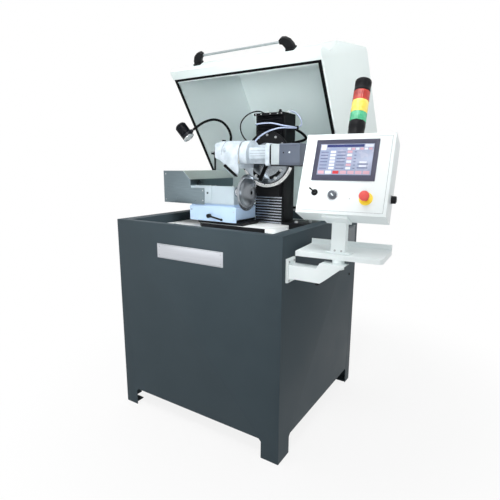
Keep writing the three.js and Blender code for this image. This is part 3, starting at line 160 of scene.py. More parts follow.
@dataclass(frozen=True)
class Finish:
    """A surface finish: two colours met in soft patches, a fine grain, and a roughness that wanders.

    Args:
        name: the material's name.
        slot: the record's material slot; not used.
        colour: the main colour in screen bytes.
        shade: the colour of the patches.
        grain: the kind of fine surface.
        rough: lowest and highest roughness.
        metallic: 1 for bare metal.
        patch: patches per metre.
        fine: grain cells per metre.
        relief: depth of the grain in millimetres.
        stretch: grain cells along X, Y, Z, for straight lines.
        centre: a point on the axis of turned rings, in cabinet millimetres.
        axis: 0, 1 or 2, the axis of turned rings.
        coat, clear, glow: clear coat, transmission and emission strength.
        shine: specular level of a surface that isn't metal.
    """

    name: str
    slot: str
    colour: Colour
    shade: Colour
    grain: Grain = Grain.PEEL
    rough: Pair = (0.35, 0.45)
    metallic: float = 0.0
    patch: float = 4.0
    fine: float = 900.0
    relief: float = 0.02
    stretch: Point = (1.0, 1.0, 1.0)
    centre: Point | None = None
    axis: int = 0
    coat: float = 0.0
    clear: float = 0.0
    glow: float = 0.0
    shine: float = 0.4

    def material(self) -> bpy.types.Material:
        """The node material of this finish, made once."""
        title = f"finish_{self.name}"
        made = bpy.data.materials.get(title)
        if made:
            return made
        made = bpy.data.materials.new(title)
        made.use_nodes = True
        made.diffuse_color = linear(self.colour)
        tree = made.node_tree
        place = add_node(tree, "TexCoord").outputs["Object"]
        move = add_node(tree, "Mapping", {"Vector": place})
        if self.centre:
            feed(move, {"Location": tuple(-metres(self.centre))})
        grain = self._grain(tree, move.outputs["Vector"])
        patches = add_noise(tree, place, self.patch, 3.0)
        lined = self.grain in (Grain.BRUSHED, Grain.TURNED)
        ramp = add_node(tree, "ValToRGB", {"Fac": grain if lined else patches})
        for stop, at, colour in zip(ramp.color_ramp.elements, RAMP, (self.colour, self.shade)):
            stop.position, stop.color = at, linear(colour)
        limits = dict(zip(("From Min", "From Max", "To Min", "To Max"), (*SPREAD, *self.rough)))
        spread = add_node(tree, "MapRange", {"Value": patches, **limits})
        bump = add_node(tree, "Bump", {"Strength": BUMP, "Distance": self.relief / MM, "Height": grain})
        shader = tree.nodes["Principled BSDF"]
        feed(shader, {"Base Color": ramp.outputs["Color"], "Roughness": spread.outputs["Result"]})
        feed(shader, {"Normal": bump.outputs["Normal"], "Metallic": self.metallic, "Coat Weight": self.coat})
        feed(shader, {"Specular IOR Level": self.shine, "Transmission Weight": self.clear})
        if self.glow:
            feed(shader, {"Emission Color": ramp.outputs["Color"], "Emission Strength": self.glow})
        return made

    def _grain(self, tree: Tree, vector: Socket) -> Socket:
        """The fine surface: noise cells, lines stretched along an axis, or noise of the distance from an axis.

        Args:
            tree: the material's nodes.
            vector: the Object coordinates, moved to the finish's centre.

        Returns:
            The socket of the grain's height.
        """
        if self.grain is Grain.BRUSHED:
            scaled = add_node(tree, "VectorMath", {0: vector, 1: self.stretch}, operation="MULTIPLY")
            return add_noise(tree, scaled.outputs[0], 1.0, 3.0)
        if self.grain is Grain.TURNED:
            across = [0.0 if i == self.axis else 1.0 for i in range(3)]
            flat = add_node(tree, "VectorMath", {0: vector, 1: across}, operation="MULTIPLY")
            far = add_node(tree, "VectorMath", {0: flat.outputs[0]}, operation="LENGTH").outputs["Value"]
            inputs = {"Scale": self.fine, "Detail": 2.0, "W": far}
            return add_node(tree, "TexNoise", inputs, noise_dimensions="1D").outputs["Fac"]
        detail = {Grain.PEEL: 1.0, Grain.MOULDED: 2.0, Grain.GRIT: 5.0}[self.grain]
        return add_noise(tree, vector, self.fine, detail)


def lens(name: str, colour: Colour, shade: Colour) -> Finish:
    """Ribbed, softly lit plastic of a stack light's tier.

    Args:
        name: the tier's colour in words.
        colour: the main colour.
        shade: the colour of the patches, lighter than the plastic's own tint to stand partly for painted highlight
            on the lens.

    Returns:
        The finish.
    """
    look = {"patch": 30, "fine": 260, "relief": 0.15, "coat": 0.4, "glow": 0.06}
    return Finish(f"{name}_lens", f"lens_{name}", colour, shade, Grain.MOULDED, (0.12, 0.2), **look)


def show(name: str, colour: Colour, shade: Colour, patch: float = 4.0) -> Finish:
    """Colour of a field on the lit display.

    Args:
        name: the colour in words.
        colour: the main colour.
        shade: the colour of the patches.
        patch: patches per metre.

    Returns:
        The finish.
    """
    look = {"patch": patch, "fine": 400, "relief": 0.002, "glow": 0.05}
    return Finish(f"display_{name}", "screen", colour, shade, Grain.MOULDED, (0.2, 0.3), **look)


BRUSHED, TURNED, MOULDED = Grain.BRUSHED, Grain.TURNED, Grain.MOULDED
SLATE = Finish("slate_powder_coat", "slate_paint", (58, 69, 75), (62, 73, 79),
               rough=(0.45, 0.55), fine=1100, relief=0.03, shine=0.08)
WHITE = Finish("white_powder_coat", "white_paint", (236, 244, 245), (230, 239, 240))
HOOD_OUT = Finish("hood_white_coat", "hood_paint", (228, 239, 238), (222, 234, 233), patch=2.0)
# The inside is the hood's own white paint made lighter: painted light standing in for fill light in the shaded
# cavity.
HOOD_IN_LIT = Finish("hood_inner_painted_light", "hood_paint", (236, 246, 246), (229, 240, 240), rough=(0.4, 0.5), patch=2.0)
HEAD = Finish("head_cast_paint", "white_paint", (188, 198, 206), (158, 169, 178),
              rough=(0.4, 0.55), patch=26, fine=420, relief=0.06)
ADAPTER = Finish("adapter_paint", "white_paint", (172, 181, 184), (156, 166, 170), rough=(0.3, 0.4), patch=12)
BLOCK = Finish("block_paint", "white_paint", (168, 182, 190), (161, 175, 183), rough=(0.3, 0.4))
PALE_BLUE = Finish("pale_blue_paint", "pale_blue_paint", (172, 196, 222), (166, 190, 217), rough=(0.3, 0.4))
GREY = Finish("grey_paint", "grey_paint", (96, 104, 109), (104, 112, 117), rough=(0.4, 0.5))
BLACK = Finish("satin_black_paint", "black_paint", (15, 16, 18), (21, 22, 25),
               rough=(0.35, 0.5), relief=0.03, shine=0.12)
MOTOR = Finish("motor_grey_paint", "motor_grey", (80, 89, 103), (90, 98, 112), metallic=0.2)
# Near white and barely metallic: the bright reflection that bare stainless takes from the white hood and
# surroundings is painted into its colour.
STEEL_PAINTED_REFLECTION = Finish("stainless_painted_reflection", "stainless", (250, 253, 253), (240, 244, 244),
               BRUSHED, (0.3, 0.4), 0.05, stretch=(900, 14, 900), relief=0.01)
# One stainless in two copies: the front darker as painted shade, the upward faces lighter as painted highlight.
COVER_FRONT_SHADED = Finish("cover_front_painted_shade", "stainless", (108, 122, 129), (122, 136, 142),
               BRUSHED, (0.26, 0.36), 1.0, stretch=(16, 900, 900), relief=0.01)
COVER_TOP_LIT = Finish("cover_top_painted_highlight", "stainless", (178, 186, 182), (190, 197, 193),
                   BRUSHED, (0.3, 0.4), 0.8, stretch=(16, 900, 900), relief=0.01)
PLATE = Finish("brushed_badge", "brushed_plate", (198, 202, 209), (210, 213, 219),
               BRUSHED, (0.28, 0.36), 1.0, stretch=(12, 900, 1200), relief=0.008)
MACHINED = Finish("machined_steel", "machined_steel", (176, 180, 184), (192, 196, 200),
                  BRUSHED, (0.2, 0.3), 1.0, stretch=(500, 40, 500), relief=0.01)
SCREW = Finish("zinc_screw", "machined_steel", (168, 171, 174), (186, 188, 190),
               MOULDED, (0.25, 0.35), 1.0, fine=600)
MIRROR = Finish("ground_plate", "machined_steel", (112, 119, 124), (146, 152, 157),
                TURNED, (0.2, 0.3), 1.0, relief=0.006, centre=(645, 446, 1376), axis=1)
CHROME = Finish("chrome", "chromed", (205, 208, 211), (214, 217, 220),
                MOULDED, (0.06, 0.12), 1.0, fine=300, relief=0.004)
KNIFE = Finish("knife_steel", "knife_steel", (154, 160, 167), (180, 185, 190),
               TURNED, (0.14, 0.24), 1.0, fine=1300, relief=0.008, centre=(605, 325, 1193.8))
FLANGE = Finish("turned_flange", "machined_steel", (116, 122, 128), (148, 153, 158),
                TURNED, (0.24, 0.34), 1.0, relief=0.012, centre=(620, 325, 1193.8))
TUBE = Finish("satin_aluminium", "aluminium_tube", (150, 160, 162), (172, 180, 182),
              BRUSHED, (0.3, 0.4), 0.9, stretch=(8, 700, 700), relief=0.006)
RUBBER = Finish("black_rubber", "black_rubber", (10, 11, 13), (16, 17, 19),
                MOULDED, (0.6, 0.8), fine=1500, relief=0.04, shine=0.08)
PLASTIC = Finish("black_plastic", "black_plastic", (13, 14, 17), (20, 21, 24),
                 MOULDED, (0.35, 0.5), fine=1400, shine=0.15)
DARK = Finish("bezel_plastic", "dark_plastic", (58, 60, 80), (64, 66, 86),
              MOULDED, (0.4, 0.5), fine=1600, relief=0.015)
LAMP = Finish("lamp_black_paint", "lamp_black", (14, 16, 23), (22, 25, 33), rough=(0.3, 0.42), shine=0.2)
FOLD = Finish("way_cover_fabric", "black_rubber", (12, 13, 16), (19, 20, 24),
              MOULDED, (0.45, 0.6), fine=1800, relief=0.05, shine=0.12)
EDGE = Finish("way_cover_edge", "way_cover_silver", (168, 174, 184), (184, 189, 198),
              BRUSHED, (0.22, 0.3), 0.9, stretch=(10, 500, 900), relief=0.01)
SCALE = Finish("scale_white", "scale_white", (240, 241, 240), (232, 234, 233), rough=(0.4, 0.5))
INK = Finish("engraved_ink", "black_paint", (9, 10, 12), (15, 16, 18), MOULDED, (0.5, 0.6), shine=0.05)
ABRASIVE = Finish("white_abrasive", "abrasive", (228, 225, 217), (206, 203, 195),
                  Grain.GRIT, (0.9, 1.0), relief=0.4, patch=300)
HOSE = Finish("pale_hose", "clear_hose", (170, 184, 214), (186, 199, 226),
              MOULDED, (0.15, 0.25), fine=300, clear=0.15, coat=0.4)
KNOB = Finish("knob_plastic", "black_plastic", (84, 89, 98), (98, 103, 112),
              MOULDED, (0.4, 0.5), relief=0.03, shine=0.2)
YELLOW = Finish("yellow_plastic", "yellow_plastic", (242, 214, 40), (246, 222, 58), MOULDED, coat=0.1)
RED = Finish("red_plastic", "red_plastic", (218, 66, 60), (228, 86, 80), MOULDED, (0.3, 0.4), coat=0.2)
# The lighter shade colours of the lenses are partly the plastic's tint and partly painted highlight.
LENS_GREEN = lens("green", (44, 158, 112), (92, 196, 150))
LENS_YELLOW = lens("yellow", (238, 200, 52), (250, 232, 128))
LENS_RED = lens("red", (150, 28, 26), (198, 62, 44))
GLASS = Finish("lamp_glass", "screen", (226, 232, 236), (236, 240, 243), MOULDED, (0.05, 0.12), fine=200, coat=0.5)
DISPLAY = [
    show("pale", (138, 152, 180), (150, 156, 180), 40),
    show("blue", (30, 42, 100), (38, 52, 112)),
    show("white", (206, 212, 224), (212, 216, 228)),
    show("rose", (196, 152, 166), (204, 162, 174)),
    show("red", (190, 48, 54), (198, 60, 66)),
    show("ink", (80, 88, 120), (92, 98, 130)),
]


class Show(IntEnum):
    """Places of the display's colours in DISPLAY."""

    PALE = 0
    BLUE = 1
    WHITE = 2
    ROSE = 3
    RED = 4
    INK = 5


def unit(vector: Spot | list[float]) -> Array:
    """Vectors of length one along the last axis."""
    v = np.asarray(vector, float)
    return v / np.linalg.norm(v, axis=-1, keepdims=True)


def spin(profile: Outline, start: Spot, axis: Spot, sides: int) -> Array:
    """Turned surface.

    Formula: start + height * axis + radius * (cos a * side + sin a * up), for each profile point and each
    angle a round the full turn.

    Args:
        profile: radius and height of each point.
        start: where height is zero.
        axis: direction of growing height.
        sides: points round the axis.

    Returns:
        Points by profile row and angle column.
    """
    along = unit(axis)
    side = unit(np.cross(along, np.eye(3)[int(np.argmin(np.abs(along)))]))
    up = np.cross(along, side)
    a = np.linspace(0, 2 * np.pi, sides, endpoint=False)
    ring = np.cos(a)[:, None] * side + np.sin(a)[:, None] * up
    p = np.asarray(profile, float)
    return np.asarray(start, float) + p[:, 1, None, None] * along + p[:, 0, None, None] * ring


def route(points: Route, count: int) -> Array:
    """Smooth curve through points, spaced evenly by length.

    Formula: on each stretch the cubic a * p0 + b * t0 + c * p1 + d * t1, where the tangents weigh the
    neighbours by the square root of their distance.

    Args:
        points: the points that the curve meets.
        count: points of the result.

    Returns:
        The curve's points.
    """
    p = np.asarray(points, float)
    q = np.vstack([2 * p[0] - p[1], p, 2 * p[-1] - p[-2]])
    step = np.sqrt(np.linalg.norm(np.diff(q, axis=0), axis=1))[:, None]
    p0, p1, p2, p3 = q[:-3], q[1:-2], q[2:-1], q[3:]
    d0, d1, d2 = step[:-2], step[1:-1], step[2:]
    t1 = ((p1 - p0) / d0 - (p2 - p0) / (d0 + d1) + (p2 - p1) / d1) * d1
    t2 = ((p2 - p1) / d1 - (p3 - p1) / (d1 + d2) + (p3 - p2) / d2) * d1
    s = np.linspace(0, 1, 40, endpoint=False)[:, None, None]
    a, b, c, d = 2 * s**3 - 3 * s**2 + 1, s**3 - 2 * s**2 + s, 3 * s**2 - 2 * s**3, s**3 - s**2
    dense = (a * p1 + b * t1 + c * p2 + d * t2).transpose(1, 0, 2).reshape(-1, 3)
    dense = np.vstack([dense, p[-1]])
    run = np.concatenate([[0], np.cumsum(np.linalg.norm(np.diff(dense, axis=0), axis=1))])
    even = np.linspace(0, run[-1], count)
    return np.stack([np.interp(even, run, dense[:, i]) for i in range(3)], axis=1)


def carry(section: Array, path: Array, scale: Array | float = 1.0) -> Array:
    """Section carried along a path.

    Formula: path + scale * (a * side + b * up), where side is the tangent crossed with the direction in which
    the path spreads least, and up is side crossed with the tangent.

    Args:
        section: points (a, b) round the section.
        path: points of the path.
        scale: size of the section at each point of the path.

    Returns:
        Points by path row and section column.
    """
    tangent = unit(np.gradient(path, axis=0))
    flat = np.linalg.svd(path - path.mean(0), full_matrices=False)[2][-1]
    side = unit(np.cross(tangent, flat))
    up = np.cross(side, tangent)
    grow = np.broadcast_to(np.asarray(scale, float), (len(path),))[:, None, None]
    s = np.asarray(section, float)
    return path[:, None] + grow * (s[None, :, :1] * side[:, None] + s[None, :, 1:] * up[:, None])


def circle(radius: float, sides: int) -> Array:
    """Points of a circle: radius times cosine and sine of each angle."""
    a = np.linspace(0, 2 * np.pi, sides, endpoint=False)
    return radius * np.stack([np.cos(a), np.sin(a)], axis=1)


def tube(points: Route, radius: float) -> Array:
    """A round line along its route."""
    return carry(circle(radius, 14), route(points, 90))


def block(low: Point, high: Point, radius: float, steps: int) -> Array:
    """Box with round edges.

    Formula: centre + sign * (half size - radius) + radius * n, where n runs over a sphere and sign is that of
    its octant, so each octant's corner is an eighth of a ball.

    Args:
        low: lowest corner.
        high: highest corner.
        radius: radius of edges and corners.
        steps: faces across a rounded edge.

    Returns:
        Points by polar row and round column.
    """
    lo, hi = np.asarray(low, float), np.asarray(high, float)
    radius = min(radius, float(np.min(hi - lo)) / 2 * 0.999)
    quarter = np.linspace(0, np.pi / 2, steps + 1)
    a = np.concatenate([quarter + i * np.pi / 2 for i in range(4)])
    polar = np.concatenate([quarter, quarter + np.pi / 2])[:, None]
    sx, sy, sz = (np.repeat(row, steps + 1) for row in ([1.0, -1, -1, 1], [1.0, 1, -1, -1], [1.0, -1]))
    ball = (np.sin(polar) * np.cos(a), np.sin(polar) * np.sin(a), np.cos(polar))
    n = np.stack(np.broadcast_arrays(*ball), axis=-1)
    sign = np.stack(np.broadcast_arrays(sx, sy, sz[:, None]), axis=-1)
    return (lo + hi) / 2 + sign * ((hi - lo) / 2 - radius) + radius * n


def prism(outline: Outline, axis: int, start: float, end: float) -> Array:
    """Outline pushed along an axis.

    Formula: the outline's two numbers fill the other two axes in order, and the axis runs from start to end.

    Args:
        outline: points round the section.
        axis: 0, 1 or 2.
        start: first place on the axis.
        end: last place on the axis.

    Returns:
        Points of the two ends by outline column.
    """
    flat = np.asarray(outline, float)
    return np.stack([np.insert(flat, axis, value, axis=1) for value in (start, end)])


def squarish(count: int, power: Pair) -> Array:
    """Round the turn, sine and cosine with their signs kept and their sizes raised to a power.

    Args:
        count: points round the turn.
        power: the powers of the cosine and of the sine; below 1 the circle swells to a rounded square.

    Returns:
        Points (cosine, sine).
    """
    a = np.linspace(0, 2 * np.pi, count, endpoint=False)
    both = np.stack([np.cos(a), np.sin(a)], axis=1)
    return np.sign(both) * np.abs(both) ** power


def face_rows(mesh: bpy.types.Mesh, key: str) -> Array:
    """Three numbers for each face.

    Args:
        mesh: the mesh.
        key: center for the faces' middles in cabinet millimetres, or normal.

    Returns:
        One row for each face.
    """
    flat = np.zeros(len(mesh.polygons) * 3)
    mesh.polygons.foreach_get(key, flat)
    rows = flat.reshape(-1, 3)
    return (rows - CORNER) * MM if key == "center" else rows


def carried(points: Array, place: Matrix) -> Array:
    """Points turned and moved: the place's three by three part times each point, plus its last column."""
    m = np.array(place)
    return points @ m[:3, :3].T + m[:3, 3]


def second_finish(mesh: bpy.types.Mesh, chosen: Array) -> None:
    """Gives a mesh's second finish to the chosen faces."""
    mesh.polygons.foreach_set("material_index", chosen.astype(np.int32))


@dataclass
class Skin:
    """Points and faces of one piece, gathered from grids of points."""

    points: list[Array] = field(default_factory=list)
    faces: list[list[int]] = field(default_factory=list)
    marks: list[int] = field(default_factory=list)
    size: int = 0

    def add(self, grid: Array, mark: int = 0, loop: bool = False, caps: bool = True) -> "Skin":
        """Adds a grid of points, whose columns close on themselves.

        Args:
            grid: points by row and column.
            mark: index of the finish.
            loop: the rows close on themselves.
            caps: the first and last rows are filled.

        Returns:
            This skin.
        """
        rows, cols = grid.shape[:2]
        index = np.arange(rows * cols).reshape(rows, cols) + self.size
        a = index if loop else index[:-1]
        b = np.roll(index, -1, axis=0) if loop else index[1:]
        quads = np.stack([a, np.roll(a, -1, axis=1), np.roll(b, -1, axis=1), b], axis=-1)
        made = quads.reshape(-1, 4).tolist()
        if caps and not loop:
            made += [index[0, ::-1].tolist(), index[-1].tolist()]
        self.points.append(grid.reshape(-1, 3))
        self.faces += made
        self.marks += [mark] * len(made)
        self.size += rows * cols
        return self

    def turn(self, profile: Outline, start: Spot, axis: Spot, sides: int = 24) -> "Skin":
        """Adds a turned surface that its profile closes.

        Args:
            profile: radius and height of each point.
            start: where height is zero.
            axis: direction of growing height.
            sides: points round the axis.

        Returns:
            This skin.
        """
        return self.add(spin(profile, start, axis, sides), caps=False)

    def box(self, low: Point, high: Point, radius: float, steps: int = 2) -> "Skin":
        """Adds a box with round edges.

        Args:
            low: lowest corner.
            high: highest corner.
            radius: radius of edges and corners.
            steps: faces across a rounded edge.

        Returns:
            This skin.
        """
        return self.add(block(low, high, radius, steps))

    def boxes(self, rows: Boxes) -> "Skin":
        """Adds several boxes, each row with box's values."""
        for row in rows:
            self.box(*row)
        return self

    def screws(self, places: Iterable[Point], axis: Point, radius: float, height: float) -> "Skin":
        """Adds cap screw heads: turned surfaces with a rounded rim and a recess in the top.

        Args:
            places: middle of each head's foot.
            axis: direction that the heads face.
            radius: their radius.
            height: their height.

        Returns:
            This skin.
        """
        r, h = radius, height
        head = ((0, 0), (r, 0), (r, h * 0.8), (r * 0.88, h), (r * 0.5, h), (r * 0.45, h * 0.45), (0, h * 0.4))
        for place in places:
            self.turn(head, place, axis, 18)
        return self

    def hexagons(self, places: Iterable[Point], axis: Point, across: float, height: float) -> "Skin":
        """Adds hexagon heads with a small chamfer: six-sided turned surfaces.

        Args:
            places: middle of each head's foot.
            axis: direction that the heads face.
            across: size over the flats.
            height: their height.

        Returns:
            This skin.
        """
        r, h = across / math.sqrt(3), height
        for place in places:
            self.turn(((0, 0), (r, 0), (r, h * 0.8), (r * 0.86, h), (0, h)), place, axis, 6)
        return self


Look = Finish | list[Finish]


class Assembly:
    """Pieces that are built and dressed together."""

    def place(self) -> Matrix:
        """Carries the assembly's own millimetres to the cabinet's."""
        return Matrix.Identity(4)

    def dress(self, *rows: tuple) -> None:
        """Dresses several CAD nodes, each row with cad's values."""
        for row in rows:
            self.cad(*row)

    def cad(self, node: str, finish: Look, edge: float = 1.0, steps: int = 2) -> bpy.types.Object:
        """Dresses a CAD node: a merged copy of its mesh with rounded edges stands for it.

        Args:
            node: name of the node.
            finish: the finish, or several for marks that are set later.
            edge: radius of its edges in millimetres.
            steps: faces across a rounded edge.

        Returns:
            The new piece.
        """
        mesh = frame["nodes"][node].data.copy()
        mesh.materials.clear()
        work = bmesh.new()
        work.from_mesh(mesh)
        bmesh.ops.remove_doubles(work, verts=work.verts, dist=WELD_CAD)
        bmesh.ops.dissolve_limit(work, angle_limit=math.radians(FLAT), verts=work.verts, edges=work.edges)
        work.to_mesh(mesh)
        work.free()
        return self._finish(f"{node}_piece", mesh, finish, BODY_OF[node], [node], edge, steps, SHARP_CAD)

    def make(
        self,
        name: str,
        skin: Skin,
        finish: Look,
        body: str,
        replaces: list[str] | None = None,
        edge: float = 0.0,
        sharp: float = 35.0,
        own: bool = True,
    ) -> bpy.types.Object:
        """Makes a piece from a skin.

        Args:
            name: the piece's name.
            skin: its points and faces.
            finish: the finish, or one for each mark.
            body: the body it rides on.
            replaces: CAD nodes it stands for.
            edge: radius of its edges in millimetres, or 0.
            sharp: edges above this angle stay sharp.
            own: the points are the assembly's own millimetres, or else the cabinet's.

        Returns:
            The piece.
        """
        mesh = bpy.data.meshes.new(name)
        points = np.vstack(skin.points)
        mesh.from_pydata(metres(carried(points, self.place()) if own else points), [], skin.faces)
        mesh.polygons.foreach_set("material_index", np.array(skin.marks, np.int32))
        work = bmesh.new()
        work.from_mesh(mesh)
        bmesh.ops.remove_doubles(work, verts=work.verts, dist=WELD_OWN)
        bmesh.ops.recalc_face_normals(work, faces=work.faces)
        work.to_mesh(mesh)
        work.free()
        return self._finish(name, mesh, finish, body, replaces or [], edge, 2, sharp)

    def _finish(
        self,
        name: str,
        mesh: bpy.types.Mesh,
        finish: Look,
        body: str,
        replaces: list[str],
        edge: float,
        steps: int,
        sharp: float,
    ) -> bpy.types.Object:
        """Gives a mesh its object, materials, shading, edges and body.

        Args:
            name: the piece's name.
            mesh: its mesh.
            finish: the finish, or several.
            body: the body it rides on, or an empty name for none.
            replaces: CAD nodes it stands for.
            edge: radius of its edges in millimetres, or 0.
            steps: faces across a rounded edge.
            sharp: edges above this angle stay sharp.

        Returns:
            The piece.
        """
        finishes = finish if isinstance(finish, list) else [finish]
        piece = bpy.data.objects.new(name, mesh)
        bpy.context.scene.collection.objects.link(piece)
        for one in finishes:
            mesh.materials.append(one.material())
        mesh.polygons.foreach_set("use_smooth", np.ones(len(mesh.polygons), bool))
        if edge:
            bevel = piece.modifiers.new("edges", "BEVEL")
            bevel.width = edge / MM
            bevel.segments = steps
            bevel.limit_method = "ANGLE"
            bevel.angle_limit = math.radians(sharp)
            bevel.harden_normals = True
            bevel.use_clamp_overlap = True
        else:
            mesh.set_sharp_from_angle(angle=math.radians(sharp))
        if replaces:
            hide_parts(*replaces)
        if body:
            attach(piece, body)
        LOG.info("%s: %d faces on %s", name, len(mesh.polygons), body or "two bodies")
        return piece


@dataclass
class Cabinet(Assembly):
    """Sheet cabinet with its bare badge plate, louvred grille, plug and coolant tank."""

    badge: Span = (286, 688, 879.5, 950.5)
    badge_face: float = -1.5
    rivet: Profile = ((0, 0), (3.2, 0), (2.56, 0.5), (1.28, 0.7), (0, 0.75))
    grille: Span = (775, 895, 891, 993)
    grille_face: float = 986.3
    slots: int = 7
    border: float = 9
    blade: Profile = ((-0.4, 3.4), (0.8, 3.6), (4.4, -2.4), (4.0, -3.2), (3.2, -3.0))
    plug: Point = (986.3, 840, 710)
    plug_dome: Profile = ((0, 0), (7.5, 0), (7.5, 1.6), (6.3, 3.2), (3.4, 4.2), (0, 4.5))

    def build(self) -> None:
        """Builds and dresses the cabinet."""
        self.cad("cabinet_shell", SLATE, 1.6)
        x0, x1, z0, z1 = self.badge
        face = self.badge_face
        plate = Skin().box((x0, face, z0), (x1, -0.3, z1), 0.4)
        self.make("badge_plate_piece", plate, PLATE, "stand", ["badge_plate"])
        rivets, rim = Skin(), Skin()
        for x, z in product((x0 + 14, x1 - 14), (z0 + 14, z1 - 14)):
            rivets.turn(self.rivet, (x, face, z), FRONT, 16)
        self.make("badge_rivets", rivets, SCREW, "stand")
        for z in (z0 + 3, z1 - 4.2):
            rim.box((x0 + 9, face - 0.4, z), (x1 - 9, face + 0.2, z + 1.2), 0.3, 1)
        self.make("badge_rim_lines", rim, GREY, "stand")
        self._grille()
        cap = Skin().turn(self.plug_dome, self.plug, RIGHT, 32)
        self.make("side_plug_cap", cap, PLASTIC, "stand", ["side_plug"])
        self.cad("coolant_tank", GREY, 3.0)

    def _grille(self) -> None:
        """Frame with a sloping blade in each slot and a screw in each corner."""
        self.cad("vent_grille", GREY, 0.5)
        y0, y1, z0, z1 = self.grille
        pitch = (z1 - z0 - 2 * self.border) / self.slots
        blades = Skin()
        for i in range(self.slots):
            z = z0 + self.border + pitch * (i + 0.5)
            blades.add(prism(np.array(self.blade) + (self.grille_face, z), 1, y0 + 10, y1 - 10))
        self.make("grille_blades", blades, GREY, "stand", edge=0.25)
        places = product([self.grille_face + 2.5], (y0 + 4.6, y1 - 4.6), (z0 + 4.6, z1 - 4.6))
        self.make("grille_screws", Skin().screws(places, RIGHT, 2.6, 1.4), SCREW, "stand")


@dataclass
class Tray(Assembly):
    """Stainless tub with a strainer over its drain, and the hinge on the cabinet."""

    drain: Pair = (190, 760)
    floor: float = 1000
    rim: Profile = ((16, 0.4), (24, 0.4), (25, 1.2), (24, 2.4), (17, 2.4), (16, 0.4))
    mouth: float = 17
    bars: tuple[float, ...] = (-12, -6, 0, 6, 12)

    def build(self) -> None:
        """Builds the tub, its strainer and the fixed hinge half."""
        # The tub's floor is this steel: its near-white colour is a painted reflection.
        tub = self.cad("drip_tray", [STEEL_PAINTED_REFLECTION, SLATE], 1.2).data
        # Every face above the bare floor takes the dark slate finish.
        second_finish(tub, face_rows(tub, "center")[:, 2] > self.floor + 1)
        x, y = self.drain
        strainer = Skin().turn(self.rim, (x, y, self.floor), UP, 40)
        for off in self.bars:
            half = math.sqrt(self.mouth**2 - off**2)
            low, high = (x - half, y + off - 1, self.floor + 0.6), (x + half, y + off + 1, self.floor + 1.8)
            strainer.box(low, high, 0.4, 1)
        self.make("drain_strainer", strainer, CHROME, "stand")
        self.cad("hinge_fixed", MACHINED, 0.4)


@dataclass
class Hood(Assembly):
    """Raised hood: white shell whose inside takes a lighter copy of its white, painted light for the shaded cavity;
    rubber seal, hinge half and handle.
    """

    hinge: Pair = (924.3, 1050)
    turn: float = 56.16
    left: float = 40
    right: float = 946
    half_sheet: float = 1.5
    outline: Profile = (
        (-1.5, 8), (-1.5, 631), (-24.7, 652.5), (-688, 632.5), (-720, 617.5), (-903.5, 225.5), (-903.5, 8)
    )
    seal_sides: Pair = (55.2, 930.8)
    seal_ends: Pair = (19.5, 899.5)
    seal_half: Pair = (8, 4.85)
    seal_power: Pair = (0.6, 0.7)
    seal_rise: float = 5.15
    bar: Pair = (258, 728)
    bar_u: float = 992
    bar_v: float = 60

    def place(self) -> Matrix:
        """Carries the closed hood's (x, -u, v) to the raised hood."""
        lift = Matrix.Translation((0, *self.hinge))
        return lift @ Matrix.Rotation(-math.radians(self.turn), 4, "X")

    def build(self) -> None:
        """Builds and dresses the hood."""
        shell = self.cad("hood_shell", [HOOD_OUT, HOOD_IN_LIT], 2.0)
        # The inner faces take the lighter white: painted light inside the hood.
        self._mark_lit_inside(shell.data)
        self._seal()
        self.dress(
            ("hinge_hood", MACHINED, 0.4),
            ("handle_bracket_left", PLASTIC, 3.5, 3),
            ("handle_bracket_right", PLASTIC, 3.5, 3),
        )
        x0, x1 = self.bar
        ends = ((0, 0), (5.2, 0), (6, 0.8), (6, x1 - x0 - 0.8), (5.2, x1 - x0), (0, x1 - x0))
        bar = Skin().turn(ends, (x0, -self.bar_u, self.bar_v), RIGHT, 40)
        self.make("handle_tube_piece", bar, TUBE, "hood", ["handle_tube"])

    def _mark_lit_inside(self, mesh: bpy.types.Mesh) -> None:
        """Marks the faces whose middle lies inside the closed hood's outline and between the side sheets: they take
        the lighter copy of the hood's white, painted light for the shaded cavity.

        Formula: a point is inside where a line from it crosses an odd number of the outline's edges.
        """
        local = carried(face_rows(mesh, "center"), self.place().inverted())
        a = np.array(self.outline)
        b = np.roll(a, -1, axis=0)
        y, z = local[:, 1, None], local[:, 2, None]
        crosses = (a[:, 1] > z) != (b[:, 1] > z)
        slope = np.where(b[:, 1] == a[:, 1], 1e-9, b[:, 1] - a[:, 1])
        inside = (crosses & (y < a[:, 0] + (z - a[:, 1]) * (b[:, 0] - a[:, 0]) / slope)).sum(1) % 2 == 1
        x, half = local[:, 0], self.half_sheet
        second_finish(mesh, inside & (x > self.left + half) & (x < self.right - half))

    def _seal(self) -> None:
        """Hollow-bulb seal: a rounded section mitred round the rectangle of the mouth.

        Formula: each corner of the rectangle plus the section's offset times the corner's two signs.
        """
        off, rise = (squarish(20, self.seal_power) * self.seal_half).T
        (x0, x1), (u0, u1) = self.seal_sides, self.seal_ends
        corners = ((x0, -u0, -1, 1), (x1, -u0, 1, 1), (x1, -u1, 1, -1), (x0, -u1, -1, -1))
        rows = [np.stack([x + off * sx, y + off * sy, self.seal_rise + rise], axis=1) for x, y, sx, sy in corners]
        seal = Skin().add(np.stack(rows), loop=True)
        self.make("hood_seal_piece", seal, RUBBER, "hood", ["hood_seal"], sharp=50)


